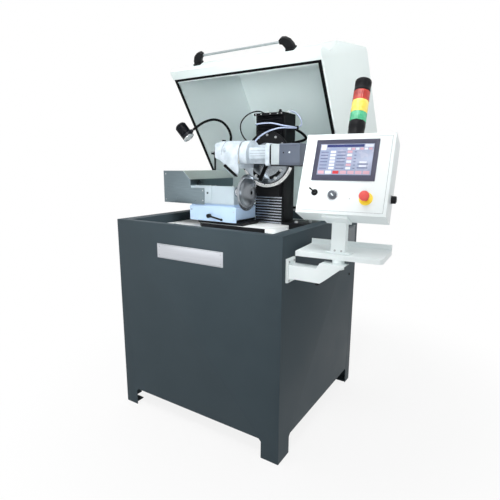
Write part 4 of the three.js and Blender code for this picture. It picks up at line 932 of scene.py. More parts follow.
@dataclass
class Bed(Assembly):
    """Bed casting, slide way and the work slide with its clamp lever."""

    slide: Span = (256.5, 562, 1037.6, 1116.1)
    front: float = 286
    bright_from: float = 600
    bolts: Route = ((330, 640, 1022), (735, 660, 1022))

    def build(self) -> None:
        """Builds the bed, the way and the slide."""
        bed = self.cad("base_casting", [BLACK, STEEL_PAINTED_REFLECTION], 2.0).data
        # The ground top and the right-hand sides are bare steel, whose near-white colour is a painted reflection.
        top = face_rows(bed, "normal")[:, 2] > 0.5
        second_finish(bed, top | (face_rows(bed, "center")[:, 0] > self.bright_from))
        self.dress(("slide_base", BLACK), ("work_slide", PALE_BLUE, 1.6, 3))
        self.make("bed_bolts", Skin().screws(self.bolts, UP, 9, 9), SCREW, "stand")
        x0, x1, z0, z1 = self.slide
        wipers = Skin()
        for x in (x0 - 1.6, x1 - 0.6):
            wipers.box((x, self.front + 6, z0 + 1), (x + 2.2, 470, z0 + 14), 0.8)
        self.make("slide_wipers", wipers, RUBBER, "work_slide_body")
        places = product((x0 + 14, x1 - 14), [self.front + 0.2], (z0 + 12, z1 - 22))
        self.make("slide_screws", Skin().screws(places, FRONT, 3.4, 1.6), SCREW, "work_slide_body")
        self.cad("clamp_lever", PLASTIC, 0.8)


@dataclass
class Workhead(Assembly):
    """Spindle block, stainless drive cover, spindle, knife and clamping flange."""

    body: str = "work_slide_body"
    axis: Pair = (325, 1193.8)
    knife_face: float = 603
    flange_face: float = 608.3
    screws: Route = ((344, 291.8, 1144), (344, 291.8, 1196), (80, 291.8, 1140), (80, 291.8, 1282))
    plug: Route = ((376.5, 294, 1186),)
    plate: Boxes = (((359, 291.4, 1133), (404, 294.2, 1218), 1.2),)
    top_screws: Route = ((372, 325, 1221), (406, 325, 1221), (520, 325, 1221))
    disc: Profile = (
        (20, 0), (76, 0), (76.6, 0.25), (77.4, 0.25), (78, 0), (81, 0), (92, 2.1), (92, 2.9), (81, 5),
        (78, 5), (77.4, 4.75), (76.6, 4.75), (76, 5), (20, 5), (20, 0),
    )
    crown: Profile = ((10, 0), (71.5, 0), (71.5, 5.6), (70.6, 6.8), (69.6, 7.2), (69.0, 6.6))
    bore: Profile = ((25, 24), (18, 24), (17.2, 23), (15.5, 23), (14.6, 23.8), (10.6, 23.8), (10, 23), (10, 0))
    dome: Pair = (68.5, 27)
    dome_edge: Pair = (26, 45.5)
    dome_rise: Pair = (24, 16.4)
    nut: Profile = ((0, 0), (9.4, 0), (9.4, 16.4), (8.6, 17.4), (4.6, 17.4), (4.2, 12), (0, 11.6))

    def build(self) -> None:
        """Builds and dresses the workhead."""
        self.cad("workhead_block", BLOCK, 2.2, 3)
        cover = self.cad("workhead_cover", [COVER_FRONT_SHADED, COVER_TOP_LIT], 1.2).data
        # Faces that look upward take the lighter copy: painted highlight on the cover's top.
        second_finish(cover, face_rows(cover, "normal")[:, 2] > 0.3)
        self.make("cover_screws", Skin().screws(self.screws, FRONT, 3.6, 2.0), SCREW, self.body)
        self.make("block_plug", Skin().screws(self.plug, FRONT, 5.5, 5), PLASTIC, self.body)
        self.make("block_front_plate", Skin().boxes(self.plate), BLOCK, self.body)
        self.make("block_top_screws", Skin().screws(self.top_screws, UP, 5, 4), SCREW, self.body)
        self.cad("work_spindle", MACHINED, 0.8)
        self._knife()

    def _knife(self) -> None:
        """Knife with a ground bevel, and its domed clamping flange.

        Formula of the dome: height falls with the square of the distance from the crown's edge.
        """
        y, z = self.axis
        disc = Skin().turn(self.disc, (self.knife_face, y, z), RIGHT, 128)
        self.make("knife_disc_piece", disc, KNIFE, "knife", ["knife_disc"], sharp=14)
        r = np.linspace(*self.dome, 12)
        (inner, wide), (top, fall) = self.dome_edge, self.dome_rise
        dome = tuple(zip(r, top - fall * ((r - inner) / wide) ** 2))
        flange = Skin().turn(self.crown + dome + self.bore, (self.flange_face, y, z), RIGHT, 96)
        self.make("knife_flange_piece", flange, FLANGE, "knife", ["knife_flange"], sharp=24)
        nut = Skin().turn(self.nut, (self.flange_face + 6, y, z), RIGHT)
        self.make("knife_centre_screw", nut, INK, "knife")


@dataclass
class Column(Assembly):
    """Column with cap fittings, pleated way covers, and the carriage."""

    wide: Pair = (562.3, 705.7)
    front: float = 484
    pleat: float = 9
    fold_steps: int = 12
    fold_power: float = 0.8
    rear: float = 560
    lower: tuple[float, float, int] = (1022.3, 1170.7, 10)
    upper: tuple[float, float, int] = (1448.3, 1584.7, 9)
    guide: Pair = (634, 520)
    pivot: Pair = (645, 1376)
    gland: Profile = ((0, 0), (7, 0), (7, 4), (5.4, 5.5), (5.4, 9), (4, 10.5), (0, 10.5))
    gland_places: Route = ((612, 512, 1597), (712, 550, 1597))
    fitting: Profile = ((0, 0), (9, 0), (9, 6), (7, 8), (7, 14), (5, 16), (0, 16))
    fitting_place: Point = (690, 505, 1597)
    cap_screws: tuple[float, ...] = (560, 592, 646, 689, 712)
    foot: Boxes = (
        ((722.4, 476, 1022.3), (770, 646, 1034), 1.5), ((768.3, 476, 1000.4), (892, 646, 1034), 1.5)
    )
    foot_bolts: Route = ((800, 500, 1034), (852, 560, 1034))
    bolt_circle: float = 108
    bolt_face: float = 452.3
    bolt_angles: tuple[float, ...] = (35, 62, 90, 118, 145)
    tick_angles: tuple[float, float, float] = (-150, -23, 2.0)
    tick_long: tuple[float, float, float] = (144.5, 156, 0.6)
    tick_short: tuple[float, float, float] = (148, 156, 0.35)
    tick_face: Pair = (447.9, 448.3)

    def build(self) -> None:
        """Builds the column, its way covers and the carriage."""
        self.cad("column_body", BLACK, 1.6)
        self._cap()
        self.make("column_foot", Skin().boxes(self.foot), BLACK, "stand")
        self.make("foot_bolts", Skin().hexagons(self.foot_bolts, UP, 17, 10), SCREW, "stand")
        self._cover("lower_bellows", self.lower, True)
        self._cover("upper_bellows", self.upper, False)
        self.cad("carriage", BLACK, 1.6)
        self._carriage()

    def _cap(self) -> None:
        """White glands, a dark fitting and cap screws on the column's cap."""
        glands = Skin()
        for place in self.gland_places:
            glands.turn(self.gland, place, UP, 20)
        self.make("cap_glands", glands, WHITE, "stand")
        places = product(self.cap_screws, [478], [1590.5])
        self.make("cap_screws", Skin().screws(places, FRONT, 3.6, 2.4), SCREW, "stand")
        self.make("cap_fitting", Skin().turn(self.fitting, self.fitting_place, UP), PLASTIC, "stand")

    def _cover(self, node: str, span: tuple[float, float, int], bright: bool) -> None:
        """Pleated way cover between the column and the carriage.

        Formula of the fold: depth is the pleat times the distance of the height from the nearest ridge, as a
        rounded zigzag, and the section runs straight across.

        Args:
            node: the CAD node it stands for.
            span: bottom, top and number of pleats.
            bright: each ridge carries a bright edge strip.
        """
        low, high, count = span
        x0, x1 = self.wide
        t = np.linspace(0, count, count * self.fold_steps + 1)
        wave = np.abs((t % 1) - 0.5) * 2
        depth = self.front + self.pleat * np.power(wave, self.fold_power)
        face = np.stack([depth, low + (high - low) * t / count], axis=1)
        back = np.stack([np.full(count + 1, self.rear), np.linspace(high, low, count + 1)], axis=1)
        outline = np.vstack([face, back])
        rows = [np.insert(outline + (d, 0), 0, x, axis=1) for x, d in ((x0, 2), (x0 + 2, 0), (x1 - 2, 0), (x1, 2))]
        piece = self.make(f"{node}_piece", Skin().add(np.stack(rows)), FOLD, "", [node], sharp=60)
        if not bright:
            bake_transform(piece)
            return
        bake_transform(piece)
        strips = Skin()
        for i in range(count):
            z = low + (high - low) * (i + 0.5) / count
            strips.box((x0 - 13, self.front - 1.0, z - 3.2), (x1 + 13, self.front + 1.6, z + 3.2), 0.8)
        strip = self.make(f"{node}_edges", strips, EDGE, "")
        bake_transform(strip)

    def _carriage(self) -> None:
        """Bolts on the round face, and the white angle scale with its ticks; every fifth tick is long."""
        px, pz = self.pivot
        turns = np.radians(self.bolt_angles)
        r, y = self.bolt_circle, self.bolt_face
        places = [(px + r * math.cos(a), y, pz + r * math.sin(a)) for a in turns]
        self.make("carriage_bolts", Skin().screws(places, FRONT, 6, 5), SCREW, "lift_carriage")
        self.cad("angle_scale", SCALE, 0.5)
        ticks = Skin()
        for i, a in enumerate(np.radians(np.arange(*self.tick_angles))):
            inner, outer, half = self.tick_short if i % 5 else self.tick_long
            across = np.array([-math.sin(a), math.cos(a)]) * half
            out = np.array([math.cos(a), math.sin(a)])
            foot, top = out * inner + self.pivot, out * outer + self.pivot
            ticks.add(prism([foot - across, top - across, top + across, foot + across], 1, *self.tick_face))
        self.make("scale_ticks", ticks, INK, "lift_carriage")


@dataclass
class Head(Assembly):
    """Tilting head: swivel plate, casting, wheel guard, spindle housing, motor and wheel."""

    body: str = "grinding_head"
    axis: Pair = (325, 1380)
    plate_face: float = 440.3
    wheel_face: float = 572
    wheel: Profile = (
        (10.3, 10), (34, 10), (36, 8), (36, 0), (61, 0), (64, 3), (64, 24), (62, 26), (10.3, 26), (10.3, 10)
    )
    plate_bolts: tuple[Pair, ...] = ((613.5, 1325), (703, 1266.5), (590, 1278), (735, 1306))
    bar_ends: tuple[Pair, Pair] = ((652.0, 1336.0), (610.0, 1251.0))
    bar_half: Pair = (10, 8)
    pointer: Profile = ((631, 1246), (643, 1246), (641, 1236), (637.5, 1229), (634, 1236))
    pointer_face: Pair = (443, 446.2)
    rib_span: Pair = (648, 737)
    front_ribs: tuple[float, ...] = (1374, 1386, 1398)
    top_ribs: tuple[float, ...] = (298, 322, 346)
    band: Profile = ((761.2, 36.4), (761.2, 49.6), (767.1, 49.6), (767.1, 36.4))
    band_power: Pair = (0.35, 0.35)
    flange_face: float = 738
    flange_screw: float = 42
    side_screws: Route = ((672, 283, 1406), (700, 283, 1406))
    cap: Profile = ((0, 0), (11, 0), (11, 5), (9, 8), (0, 8.5))
    cap_place: Point = (462, 325, 1449)
    guard_knob: Profile = ((0, 0), (6, 0), (7, 2), (7, 9), (5, 11), (0, 11))
    guard_knob_place: Point = (414, 325, 1396)
    seams: Pair = (497.0, 596.8)
    seam_radius: float = 71.2
    lug: Boxes = (((506, 250.4, 1392), (524, 254.4, 1416), 1.5),)
    boss: Profile = ((0, 0), (4.6, 0), (4.6, 2), (3.6, 3.2), (0, 3.4))
    boss_place: Point = (515, 250.6, 1404)
    end_plate: Boxes = (
        ((598.8, 260, 1314), (602.2, 390, 1337.6), 1.2), ((596.6, 250.4, 1294), (601.8, 262, 1337.6), 1.2)
    )
    nozzle: tuple[Point, Point] = ((522.6, 246.4, 1329.0), (590.0, 246.4, 1279.7))
    motor_screw: Route = ((866, 275.2, 1389),)
    hole: Profile = ((0, 0), (3.4, 0), (3.4, 0.5), (2.4, 0.7), (0, 0.4))
    hole_place: Point = (835, 275.1, 1388)
    under_strips: Boxes = (((764, 280, 1326.4), (914, 292, 1331.2), 1.2), ((764, 358, 1326.4), (914, 370, 1331.2), 1.2))
    grooves: Boxes = (
        ((814, 273.7, 1340.4), (916, 275.2, 1341.6), 0.4, 1), ((814, 273.7, 1418.4), (916, 275.2, 1419.6), 0.4, 1)
    )

    def build(self) -> None:
        """Builds and dresses the head."""
        self.dress(
            ("swivel_plate", MIRROR, 0.8),
            ("head_casting", HEAD, 3.0, 3),
            ("wheel_guard", HEAD, 1.2, 3),
            ("spindle_housing", HEAD, 2.0, 3),
            ("motor_adapter", ADAPTER, 7.0, 4),
            ("spindle_motor", MOTOR, 3.5, 3),
            ("coolant_nozzle", PLASTIC, 0.5),
            ("grinding_spindle", MACHINED, 0.6),
        )
        wheel = Skin().turn(self.wheel, (self.wheel_face, *self.axis), RIGHT, 72)
        self.make("grinding_wheel_piece", wheel, ABRASIVE, "wheel", ["grinding_wheel"], sharp=25)
        self._plate()
        self._housing()
        self._guard()
        self._sleeve()
        self._motor()

    def _plate(self) -> None:
        """Clamp bolts in the curved slots, a dark locking bar and a pointer on the swivel plate."""
        places = tuple((x, self.plate_face, z) for x, z in self.plate_bolts)
        self.make("plate_bolts", Skin().hexagons(places, FRONT, 13, 7), SCREW, self.body)
        a, b = np.array(self.bar_ends)
        across = unit([b[1] - a[1], a[0] - b[0]])
        wide, narrow = across * self.bar_half[0], across * self.bar_half[1]
        outline = [a + wide, b + narrow, b - narrow, a - wide]
        bar = Skin().add(prism(outline, 1, self.plate_face - 7, self.plate_face - 0.2))
        self.make("locking_bar", bar, INK, self.body, edge=1.4)
        pointer = Skin().add(prism(self.pointer, 1, *self.pointer_face))
        self.make("scale_pointer", pointer, PLASTIC, self.body, edge=0.5)

    def _housing(self) -> None:
        """Fine ribs in a grey darker than the housing's paint, painted shade along the ribbed lines; screws on the
        housing, and a dark joint band.

        Formula of the band: a square with corners rounded by a power of the sine and cosine, as a ring along X.
        """
        y, z = self.axis
        left, right = self.rib_span
        ribs = Skin().boxes(tuple(((left, 282.2, h), (right, 283.6, h + 1.8), 0.5, 1) for h in self.front_ribs))
        ribs.boxes(tuple(((left, b, 1413.6), (right, b + 3, 1415.2), 0.5, 1) for b in self.top_ribs))
        # The ribs' dark grey is painted shade of the lines between them.
        self.make("housing_rib_shade_lines", ribs, GREY, self.body)
        s = self.flange_screw
        screws = Skin().screws(product([self.flange_face], (y - s, y + s), (z - s, z + s)), LEFT, 4.5, 4)
        screws.screws(self.side_screws, FRONT, 2.6, 1.2)
        self.make("flange_screws", screws, SCREW, self.body)
        rows = [np.insert(squarish(72, self.band_power) * r + self.axis, 0, x, axis=1) for x, r in self.band]
        self.make("joint_ring", Skin().add(np.stack(rows), loop=True), INK, self.body, edge=0.6)

    def _guard(self) -> None:
        """Cap, knob, seam, lug and end plate of the wheel guard.

        Formula of a seam: half a circle about the wheel's axis, from back to front over the top.
        """
        y, z = self.axis
        cap = Skin().turn(self.cap, self.cap_place, UP)
        self.make("guard_cap", cap.turn(self.guard_knob, self.guard_knob_place, RIGHT, 20), INK, self.body)
        seam = Skin()
        arc = np.linspace(0, np.pi, 40)
        half = self.seam_radius * np.stack([np.cos(arc), np.sin(arc)], axis=1) + (y, z)
        for x in self.seams:
            seam.add(carry(circle(0.9, 6), np.insert(half, 0, x, axis=1)))
        self.make("guard_seam", seam, GREY, self.body)
        lug = Skin().boxes(self.lug).turn(self.boss, self.boss_place, FRONT, 20)
        self.make("guard_lug", lug, HEAD, self.body)
        self.make("guard_end_plate", Skin().boxes(self.end_plate), HEAD, self.body)

    def _sleeve(self) -> None:
        """Rubber sleeve over the coolant nozzle, with a collar at its root."""
        root, tip = np.array(self.nozzle)
        far = float(np.linalg.norm(tip - root))
        profile = ((0, -1), (7.2, -1), (7.2, 12), (6.6, 13), (6.6, far - 2), (5.8, far), (0, far))
        self.make("nozzle_sleeve", Skin().turn(profile, root, unit(tip - root)), RUBBER, self.body)

    def _motor(self) -> None:
        """Screw on the motor's side; a dark disc for its hole and dark lines at its corner grooves, both painted
        shade; black strips along the motor's underside.
        """
        self.make("motor_screw", Skin().screws(self.motor_screw, FRONT, 4.5, 1.6), CHROME, self.body)
        # The hole is a shallow dark disc: painted shade of the hole.
        self.make("motor_hole_shade_disc", Skin().turn(self.hole, self.hole_place, FRONT, 20), INK, self.body)
        self.make("motor_under_strips", Skin().boxes(self.under_strips), BLACK, self.body)
        # Dark lines along the grooves: painted shade.
        self.make("motor_groove_shade_lines", Skin().boxes(self.grooves), DARK, self.body)


@dataclass
class Lamp(Assembly):
    """Work lamp: bracket, ribbed flexible neck and finned head with a bright rim."""

    neck: Route = (
        (361, 530, 1462.6), (361, 530, 1470), (366, 524, 1490), (365, 500, 1530), (343, 474, 1564),
        (304, 452, 1577), (255, 432, 1566), (214, 412, 1540), (196, 399, 1523),
    )
    neck_radius: float = 7
    swell: Pair = (0.93, 0.07)
    ribs: int = 104
    centre: Point = (139, 390, 1515.6)
    aim: Point = (0.62, 0.14, -0.77)
    length: float = 92
    knuckle: float = 11
    grow: float = 1.2
    cap: Profile = ((0, 0), (16, 0), (20, 1), (23, 3.5), (24, 7))
    fin: Profile = ((24, 9), (26.4, 9.5), (27, 10.2), (27, 12.0), (26.4, 12.7), (24, 13.2))
    fins: int = 9
    pitch: float = 6.4
    mouth: Profile = ((25, 68), (27, 70), (27, 87.6), (24.5, 87.6), (24.5, 86), (0, 86))
    rim: Profile = (
        (24.2, 84.5), (24.2, 91), (25.4, 92), (27.1, 92), (27.4, 91), (27.4, 87.8), (26.6, 87.4), (24.2, 84.5)
    )
    glass: Profile = ((0, 88.6), (12, 88.2), (20, 87.4), (24.2, 86.4), (24.2, 85.4), (0, 85.4))

    def build(self) -> None:
        """Builds the lamp; the neck's section swells and narrows with the sine of the way along it."""
        self.cad("lamp_bracket", BLACK, 1.2)
        least, more = self.swell
        swell = least + more * np.abs(np.sin(np.linspace(0, 1, 520) * np.pi * self.ribs))
        neck = Skin().add(carry(circle(self.neck_radius, 14), route(self.neck, 520), swell))
        self.make("lamp_neck_piece", neck, RUBBER, "stand", ["lamp_neck"], sharp=70)
        self._head()

    def _head(self) -> None:
        """Finned head: radius steps between body and fin along the length; rim and glass close the mouth."""
        along = unit(self.aim)
        start = np.array(self.centre) - along * self.length / 2
        widen = np.array([self.grow, 1])
        fins = [np.array(self.fin) + (0, i * self.pitch) for i in range(self.fins)]
        head = Skin().turn(np.vstack([self.cap, *fins, self.mouth]) * widen, start, along, 56)
        before, end = np.array(self.neck[-2:])
        line = unit(end - before)
        joint = end + line * (self.knuckle + 0.3)
        a = np.linspace(0, np.pi, 14)
        head.turn(self.knuckle * np.stack([np.sin(a), -np.cos(a)], axis=1), joint, line)
        reach = np.array(self.centre) + along * 14 - joint
        far = float(np.linalg.norm(reach))
        head.turn(((0, 0), (6.6, 0), (6.6, far * 0.7), (9, far * 0.8), (9, far), (0, far)), joint, unit(reach))
        self.make("lamp_head_piece", head, LAMP, "lamp", ["lamp_head"], sharp=40)
        self.make("lamp_rim", Skin().turn(np.array(self.rim) * widen, start, along, 56), CHROME, "lamp")
        self.make("lamp_glass", Skin().turn(np.array(self.glass) * widen, start, along, 48), GLASS, "lamp")


@dataclass
class Plumbing(Assembly):
    """Coolant riser with its tap, and the cable and hoses."""

    loop: Route = (
        (575, 530, 1597.6), (574.6, 529.6, 1602), (566, 524, 1609), (540, 512, 1612), (498, 490, 1594),
        (470, 474, 1556), (478, 456, 1514), (506, 444, 1474), (544, 428, 1449), (556, 421, 1436),
        (556.4, 420.6, 1430.8),
    )
    upper: Route = (
        (552.6, 501.4, 1541), (553, 495, 1541), (566, 476, 1542), (652, 472, 1544), (720, 477, 1530),
        (746, 520, 1526), (757, 566, 1524),
    )
    lower: Route = (
        (588, 412, 1430.8), (588.2, 412.2, 1438), (609, 426, 1471), (664, 442, 1503), (714, 466, 1517),
        (744, 516, 1519), (757, 566, 1522),
    )
    top: Route = (
        (712, 550, 1597.6), (712.4, 550.2, 1602), (724, 556, 1608), (752, 572, 1592), (772, 584, 1560),
        (772, 582, 1536), (757, 566, 1524),
    )
    power: Route = (
        (722.8, 592, 1522), (731, 592.2, 1521.6), (746, 600, 1512), (766, 624, 1494), (776, 640, 1474),
        (766, 626, 1462), (746, 602, 1454), (731, 594.4, 1450.4), (722.8, 594, 1450),
    )
    cable_radius: float = 3.2
    hose_radius: float = 4
    power_radius: float = 7
    junction: Boxes = (
        ((748, 559, 1515), (766, 573, 1533), 2.5, 3), ((722.3, 559, 1515.4), (757, 566, 1523.6), 1.5)
    )

    def build(self) -> None:
        """Builds the riser, tap, cable and hoses."""
        self.dress(("coolant_riser", BLACK, 0.5), ("tap_lever", MACHINED, 0.8))
        self._led("cable_loop_piece", self.loop[::-1], self.cable_radius, 4, RUBBER, ["cable_loop"])
        self._led("head_hose", self.lower, self.hose_radius, 3, HOSE, [])
        fixed = Skin().add(tube(self.upper, self.hose_radius)).add(tube(self.top, self.hose_radius))
        self.make("column_hoses", fixed, HOSE, "stand", ["coolant_hoses"])
        self.make("hose_junction", Skin().boxes(self.junction), PLASTIC, "stand")
        power = Skin().add(tube(self.power, self.power_radius))
        self.make("power_cable_piece", power, RUBBER, "stand", ["power_cable"])
        collars = Skin()
        thick, thin = (RIGHT, 9.5), (UP, 6.5)
        ends = ((self.power[0], *thick), (self.power[-1], *thick), (self.loop[0], *thin), (self.top[0], *thin))
        for place, axis, r in ends:
            collars.turn(((0, -0.5), (r, -0.5), (r, 5), (r * 0.8, 6.5), (r * 0.8, 9), (0, 9)), place, axis, 18)
        self.make("cable_collars", collars, PLASTIC, "stand")

    def _led(
        self, name: str, points: Route, radius: float, turn: int, finish: Finish, nodes: list[str]
    ) -> None:
        """Builds a line from the head to the column in two pieces that meet at one point of its route.

        Args:
            name: name of the piece on the column's side; the head's side adds _lead.
            points: route from the head to the column.
            radius: the line's radius.
            turn: index of the route's point where the two pieces meet.
            finish: the surface finish.
            nodes: CAD nodes that the column's side stands for.
        """
        path = route(points, 160)
        cut = int(np.argmin(np.linalg.norm(path - np.array(points[turn]), axis=1)))
        ring = circle(radius, 14)
        lead = self.make(f"{name}_lead", Skin().add(carry(ring, path[: cut + 1])), finish, "")
        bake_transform(lead)
        rest = self.make(name, Skin().add(carry(ring, path[cut:])), finish, "", nodes)
        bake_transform(rest)


@dataclass
class Arm(Assembly):
    """Panel arm on the cabinet's side with its screws."""

    face: float = 996.3
    knob: Profile = ((0, 0), (4.5, 0), (4.5, 5), (9, 7), (9.5, 12), (8, 15), (0, 16))
    knob_place: Point = (1112, 68.5, 868)

    def build(self) -> None:
        """Builds the arm."""
        self.cad("panel_arm", WHITE, 2.5, 3)
        places = product([self.face], (42, 88), (858.5, 939))
        self.make("arm_screws", Skin().screws(places, RIGHT, 4.2, 3.4), SCREW, "stand")
        self.make("arm_knob", Skin().turn(self.knob, self.knob_place, DOWN), PLASTIC, "stand")


@dataclass
class Panel(Assembly):
    """Control panel on its shelf and post: box, display, switches and stack light."""

    x: float = 1205
    y: float = 21
    z: float = 1152.6
    yaw: float = 5
    tilt: float = -22
    width: float = 341.6
    height: float = 321.8
    screen: Span = (62.8, 268.7, 153.8, 279.2)
    screen_face: float = -2.9
    stack: tuple[float, float, float] = (178, 50, 32.6)
    ribs: int = 15
    knob: Pair = (50, 80)
    stop: Pair = (264, 64)
    selector: Pair = (138, 73)
    post_screws: Route = ((1172, 92.2, 999), (1199, 92.2, 999))
    post_plate: Boxes = (((102, 16, -11), (202, 104, -0.2), 2.0),)
    door_screw: Profile = ((0, 0), (2.4, 0), (2.2, 1.2), (0, 1.6))
    door_screw_place: Point = (204, 0, 62)
    toggle: Point = (66, -0.2, 82)
    boss: Profile = (
        (0, 0), (13, 0), (13, 1.4), (11.4, 2.2), (11.4, 4.6), (10.4, 5.6), (6.2, 5.6), (5.6, 4.8), (0, 4.8)
    )
    arrow: Profile = ((-2.3, 0), (-2.3, -11.5), (0, -14), (2.3, -11.5), (2.3, 0))
    collar: Profile = ((16.6, 0), (20.4, 0), (20.4, 2.0), (19.2, 3.2), (16.6, 3.2), (16.6, 0))
    grip: Profile = ((0, 3.2), (15, 3.2), (15, 6), (14.2, 8), (14.2, 18), (12.6, 21), (9, 22), (0, 22))
    grip_ring: Profile = ((0, 0), (18, 0), (18, 2.4), (16.6, 3.4), (0, 3.4))
    arrow_face: Pair = (-24, -22.8)
    stem: Profile = ((0, 0), (9, 0), (9, 20), (12.4, 26), (15.8, 28.8), (17.8, 30.4), (18.6, 32.6))
    dome: tuple[float, float, float] = (18.6, 38, 10)
    scallop: float = 0.03

    def place(self) -> Matrix:
        """Carries the panel's own millimetres (from its lower left front edge) to the cabinet's."""
        turn = Matrix.Rotation(math.radians(self.yaw), 4, "Z") @ Matrix.Rotation(math.radians(self.tilt), 4, "X")
        return Matrix.Translation((self.x, self.y, self.z)) @ turn @ Matrix.Translation((-self.width / 2, 0, 0))

    def build(self) -> None:
        """Builds the panel."""
        self.dress(("shelf", WHITE, 1.5, 3), ("post", WHITE, 1.5), ("panel_box", WHITE, 2.2, 3))
        self._door()
        self._display()
        self._switches()
        self._side_knob()
        self._stack()
        self.make("post_screws", Skin().screws(self.post_screws, FRONT, 4.2, 2.4), SCREW, "panel", own=False)
        self.make("post_plate", Skin().boxes(self.post_plate), WHITE, "panel")

    def _door(self) -> None:
        """Fine groove line round the door, and its screw."""
        w, h = self.width, self.height
        lines = Skin()
        across = ((11, 11, w - 11, 12), (11, h - 12, w - 11, h - 11))
        upright = ((11, 11, 12, h - 11), (w - 12, 11, w - 11, h - 11))
        for a, b, c, d in across + upright:
            lines.box((a, -0.15, b), (c, 0.6, d), 0.2, 1)
        self.make("door_line", lines, GREY, "panel")
        screw = Skin().turn(self.door_screw, self.door_screw_place, FRONT, 16)
        self.make("door_screw", screw, SCREW, "panel")

    def _tile(self, left: float, low: float, right: float, high: float) -> Array:
        """A thin field on the screen.

        Args:
            left, low: shares of the screen's width and height where it starts.
            right, high: shares where it ends.

        Returns:
            Its points.
        """
        x0, x1, z0, z1 = self.screen
        low_corner = (x0 + left * (x1 - x0), self.screen_face - 0.25, z0 + low * (z1 - z0))
        high_corner = (x0 + right * (x1 - x0), self.screen_face + 0.1, z0 + high * (z1 - z0))
        return block(low_corner, high_corner, 0.1, 1)

    def _display(self) -> None:
        """Bezel with a soft edge, and a generic page of fields on the glass."""
        self.dress(("screen_bezel", DARK, 1.2, 3), ("screen_glass", DISPLAY[Show.PALE], 0.3))
        fields = [
            (0.13, 0.89, 0.82, 0.975, Show.BLUE),
            (0.015, 0.80, 0.115, 0.975, Show.WHITE),
            (0.835, 0.89, 0.985, 0.975, Show.WHITE),
        ]
        for i in range(6):
            z = 0.70 - i * 0.105
            fields += [(a, z + 0.02, b, z + 0.045, Show.INK) for a, b in ((0.03, 0.17), (0.34, 0.50), (0.66, 0.70))]
            fields.append((0.21, z, 0.31, z + 0.075, Show.WHITE))
            fields.append((0.53, z, 0.62, z + 0.075, Show.WHITE if i % 2 else Show.ROSE))
            x = i * 0.078
            fields.append((0.52 + x, 0.80, 0.58 + x, 0.865, Show.ROSE if i % 2 else Show.WHITE))
        for z in (0.21, 0.33):
            fields += [(0.74, z, 0.93, z + 0.03, Show.INK), (0.77, z + 0.045, 0.90, z + 0.1, Show.WHITE)]
        for j in range(7):
            mark = {1: Show.WHITE, 2: Show.RED}.get(j, Show.ROSE)
            fields.append((0.02 + j * 0.14, 0.03, 0.135 + j * 0.14, 0.13, mark))
        page = Skin()
        for *span, mark in fields:
            page.add(self._tile(*span), mark)
        self.make("display_page", page, DISPLAY, "panel")

    def _switches(self) -> None:
        """Toggle on its boss, pointer knob with its mark and collar, and the emergency stop.

        Formula of the stop's dome: height is the crown times the square root of one less the squared share of
        radius.
        """
        self.make("toggle_boss", Skin().turn(self.boss, self.toggle, FRONT, 32), PLASTIC, "panel")
        self.dress(("toggle_lever", PLASTIC, 0.3), ("selector_knob", KNOB, 0.8))
        x, z = self.selector
        aim = math.sqrt(0.5)
        outline = [(x + (a - b) * aim, z + (a + b) * aim) for a, b in self.arrow]
        mark = Skin().add(prism(outline, 1, *self.arrow_face))
        self.make("selector_mark", mark, WHITE, "selector", edge=0.3)
        self.make("selector_collar", Skin().turn(self.collar, (x, -0.3, z), FRONT, 40), CHROME, "panel")
        self.cad("estop_ring", YELLOW, 0.5)
        t = np.linspace(1, 0, 12)
        radius, low, crown = self.dome
        head = np.vstack([self.stem, np.stack([radius * t, low + crown * np.sqrt(1 - t * t)], axis=1)])
        x, z = self.stop
        button = Skin().turn(head, (x, -0.3, z), FRONT, 48)
        self.make("estop_button_piece", button, RED, "estop", ["estop_button"])

    def _side_knob(self) -> None:
        """Key knob on the panel's side, with its ring and grip."""
        w, (back, up) = self.width, self.knob
        start, body = (w + 0.3, back, up), "side_knob_body"
        self.make("side_knob_piece", Skin().turn(self.grip, start, RIGHT, 40), PLASTIC, body, ["side_knob"])
        self.make("side_knob_ring", Skin().turn(self.grip_ring, start, RIGHT, 40), CHROME, body)
        grip = Skin().box((w + 20, back - 3, up - 13), (w + 22.3, back + 3, up + 13), 1.2)
        self.make("side_knob_grip", grip, CHROME, body)

    def _stack(self) -> None:
        """Stack light: ribbed lenses between black rings.

        Formula of a lens: radius less a shallow scallop of 30 ribs round the turn.
        """
        x, y, r = self.stack
        base = (
            (0, 0), (r + 0.9, 0), (r + 0.9, 6), (r - 1, 8), (r - 1, 43.4), (r, 46.2), (r, 69), (r - 1, 70), (0, 70)
        )
        cap = (
            (0, 0), (r - 0.8, 0), (r, 0.8), (r, 8), (r - 0.7, 9), (r - 0.7, 30), (r, 31), (r, 44), (r - 1.2, 48),
            (r - 4, 50.8), (r - 9, 52), (0, 52),
        )
        a = np.linspace(0, 2 * np.pi, 120, endpoint=False)
        squeeze = (1 - self.scallop * np.abs(np.sin(a * self.ribs)))[:, None]
        z = self.height + 0.3
        for name, tall, finish in (
            ("base", 70, PLASTIC), ("green", 37, LENS_GREEN), ("yellow", 50, LENS_YELLOW), ("red", 41, LENS_RED),
            ("cap", 52, PLASTIC),
        ):
            lens_shape = ((0, 0), (r - 1.2, 0), (r, 0.8), (r, tall - 0.8), (r - 1.2, tall), (0, tall))
            grid = spin({"base": base, "cap": cap}.get(name, lens_shape), (x, y, z), UP, 120)
            if finish is not PLASTIC:
                grid[..., :2] = (x, y) + (grid[..., :2] - (x, y)) * squeeze
            skin = Skin().add(grid, caps=False)
            self.make(f"stack_{name}_piece", skin, finish, "panel", [f"stack_{name}"], sharp=50)
            z += tall + 0.3


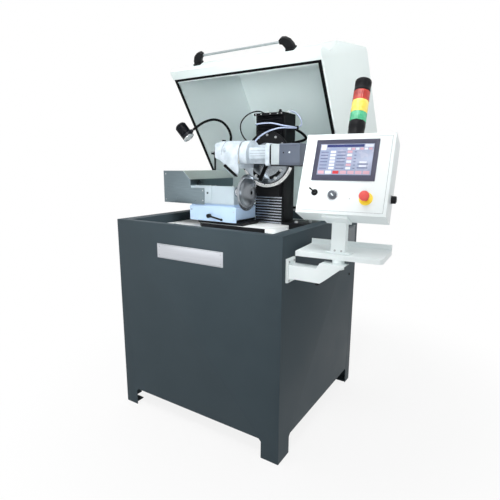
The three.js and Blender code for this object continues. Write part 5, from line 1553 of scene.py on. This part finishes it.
@dataclass(frozen=True)
class Light:
    """A square soft light that faces a point: place and target in metres, power in watts, spread in degrees."""

    name: str
    at: Point
    size: float
    power: float
    target: Point = (0.0, 0.0, 0.95)
    spread: float = 180

    def build(self) -> None:
        """Puts the light in the scene."""
        data = bpy.data.lights.new(self.name, "AREA")
        data.size = self.size
        data.energy = self.power
        data.spread = math.radians(self.spread)
        light = bpy.data.objects.new(self.name, data)
        light.location = self.at
        light.rotation_euler = (Vector(self.at) - Vector(self.target)).to_track_quat("Z", "Y").to_euler()
        bpy.context.scene.collection.objects.link(light)


@dataclass
class Studio:
    """Floor, soft lights, white surroundings and the camera of the photograph."""

    eye: Point = (1749.65, -1447.5, 1328.7)
    right: Point = (0.84358, 0.53698, 0.00493)
    down: Point = (0.11180, -0.16664, -0.97966)
    focal: float = 412.12
    frame: float = 500.0
    sensor: float = 36.0
    reach: float = 40.0
    fade: Pair = (0.8, 1.7)
    fade_start: float = 0.85
    floor_grey: float = 0.9
    floor_rough: float = 0.9
    surround: float = 0.62
    lights: tuple[Light, ...] = (
        Light("key", (-2.4, -4.2, 2.2), 3.2, 15),
        Light("low", (0.6, -3.8, 1.3), 2.4, 6),
        Light("top", (-0.4, -1.2, 4.6), 3.6, 46),
        Light("hood", (0.9, -2.3, 1.45), 0.8, 2.5, (-0.45, 0.25, 1.85), 38),
        Light("tub", (0.2, -1.9, 3.2), 1.0, 4.0, (-0.3, -0.45, 1.0), 38),
        Light("side", (2.8, -0.9, 2.5), 0.8, 1.7, (0.2, 0.4, 1.85), 44),
        Light("back", (-1.5, 3.6, 3.0), 3.0, 14),
    )

    def build(self) -> None:
        """Builds the studio."""
        self._camera()
        self._floor()
        self._world()
        for light in self.lights:
            light.build()
        bpy.context.scene.view_settings.view_transform = "Standard"

    def _camera(self) -> None:
        """Camera: its axes are the solved right, up and back directions."""
        data = bpy.data.cameras.new("camera")
        data.sensor_width = self.sensor
        data.lens = self.focal / self.frame * self.sensor
        data.clip_start, data.clip_end = 0.05, 200
        camera = bpy.data.objects.new("camera", data)
        right = Vector(self.right).normalized()
        up = -Vector(self.down).normalized()
        back = right.cross(up).normalized()
        up = back.cross(right).normalized()
        turn = Matrix((right, up, back)).transposed().to_4x4()
        camera.matrix_world = Matrix.Translation(Vector(metres(self.eye))) @ turn
        bpy.context.scene.collection.objects.link(camera)
        bpy.context.scene.camera = camera

    def _seen(self, tree: Tree) -> Socket:
        """1 where a camera, glossy or transmission ray looks."""
        ray = add_node(tree, "LightPath").outputs
        one = add_node(tree, "Math", {0: ray["Is Camera Ray"], 1: ray["Is Glossy Ray"]}, operation="MAXIMUM")
        both = {0: one.outputs[0], 1: ray["Is Transmission Ray"]}
        return add_node(tree, "Math", both, operation="MAXIMUM").outputs[0]

    def _floor(self) -> None:
        """Pale floor that fades to plain white away from the object."""
        mesh = bpy.data.meshes.new("floor")
        r = self.reach
        mesh.from_pydata([(-r, -r, 0), (r, -r, 0), (r, r, 0), (-r, r, 0)], [], [(0, 1, 2, 3)])
        floor = bpy.data.objects.new("floor", mesh)
        bpy.context.scene.collection.objects.link(floor)
        made = bpy.data.materials.new("floor")
        made.use_nodes = True
        tree = made.node_tree
        shader = tree.nodes["Principled BSDF"]
        grey = self.floor_grey
        feed(shader, {"Base Color": (grey, grey, grey, 1), "Roughness": self.floor_rough, "Specular IOR Level": 0.0})
        place = add_node(tree, "TexCoord").outputs["Object"]
        away = add_node(tree, "VectorMath", {0: place}, operation="LENGTH").outputs["Value"]
        near, far = self.fade
        limits = {"From Min": near, "From Max": far, "To Min": self.fade_start}
        fade = add_node(tree, "MapRange", {"Value": away, **limits}, interpolation_type="SMOOTHSTEP")
        both = add_node(tree, "Math", {0: fade.outputs["Result"], 1: self._seen(tree)}, operation="MULTIPLY")
        glow = add_node(tree, "Emission").outputs[0]
        mix = add_node(tree, "MixShader", {0: both.outputs[0], 1: shader.outputs[0], 2: glow})
        feed(tree.nodes["Material Output"], {"Surface": mix.outputs[0]})
        mesh.materials.append(made)

    def _world(self) -> None:
        """Soft surroundings that look plain white to camera, glossy and transmission rays."""
        world = bpy.data.worlds.new("studio")
        bpy.context.scene.world = world
        world.use_nodes = True
        tree = world.node_tree
        soft = tree.nodes["Background"]
        feed(soft, {"Color": (1, 1, 1, 1), "Strength": self.surround})
        white = add_node(tree, "Background", {"Color": (1, 1, 1, 1)}).outputs[0]
        mix = add_node(tree, "MixShader", {0: self._seen(tree), 1: soft.outputs[0], 2: white})
        feed(tree.nodes["World Output"], {"Surface": mix.outputs[0]})


def main() -> None:
    """Builds the studio and every sub-assembly."""
    logging.basicConfig(level=logging.INFO, format="%(message)s")
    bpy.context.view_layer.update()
    Studio().build()
    for kind in (Cabinet, Tray, Hood, Bed, Workhead, Column, Head, Lamp, Plumbing, Arm, Panel):
        LOG.info("%s", kind.__name__)
        kind().build()


if __name__ == "__main__":
    main()
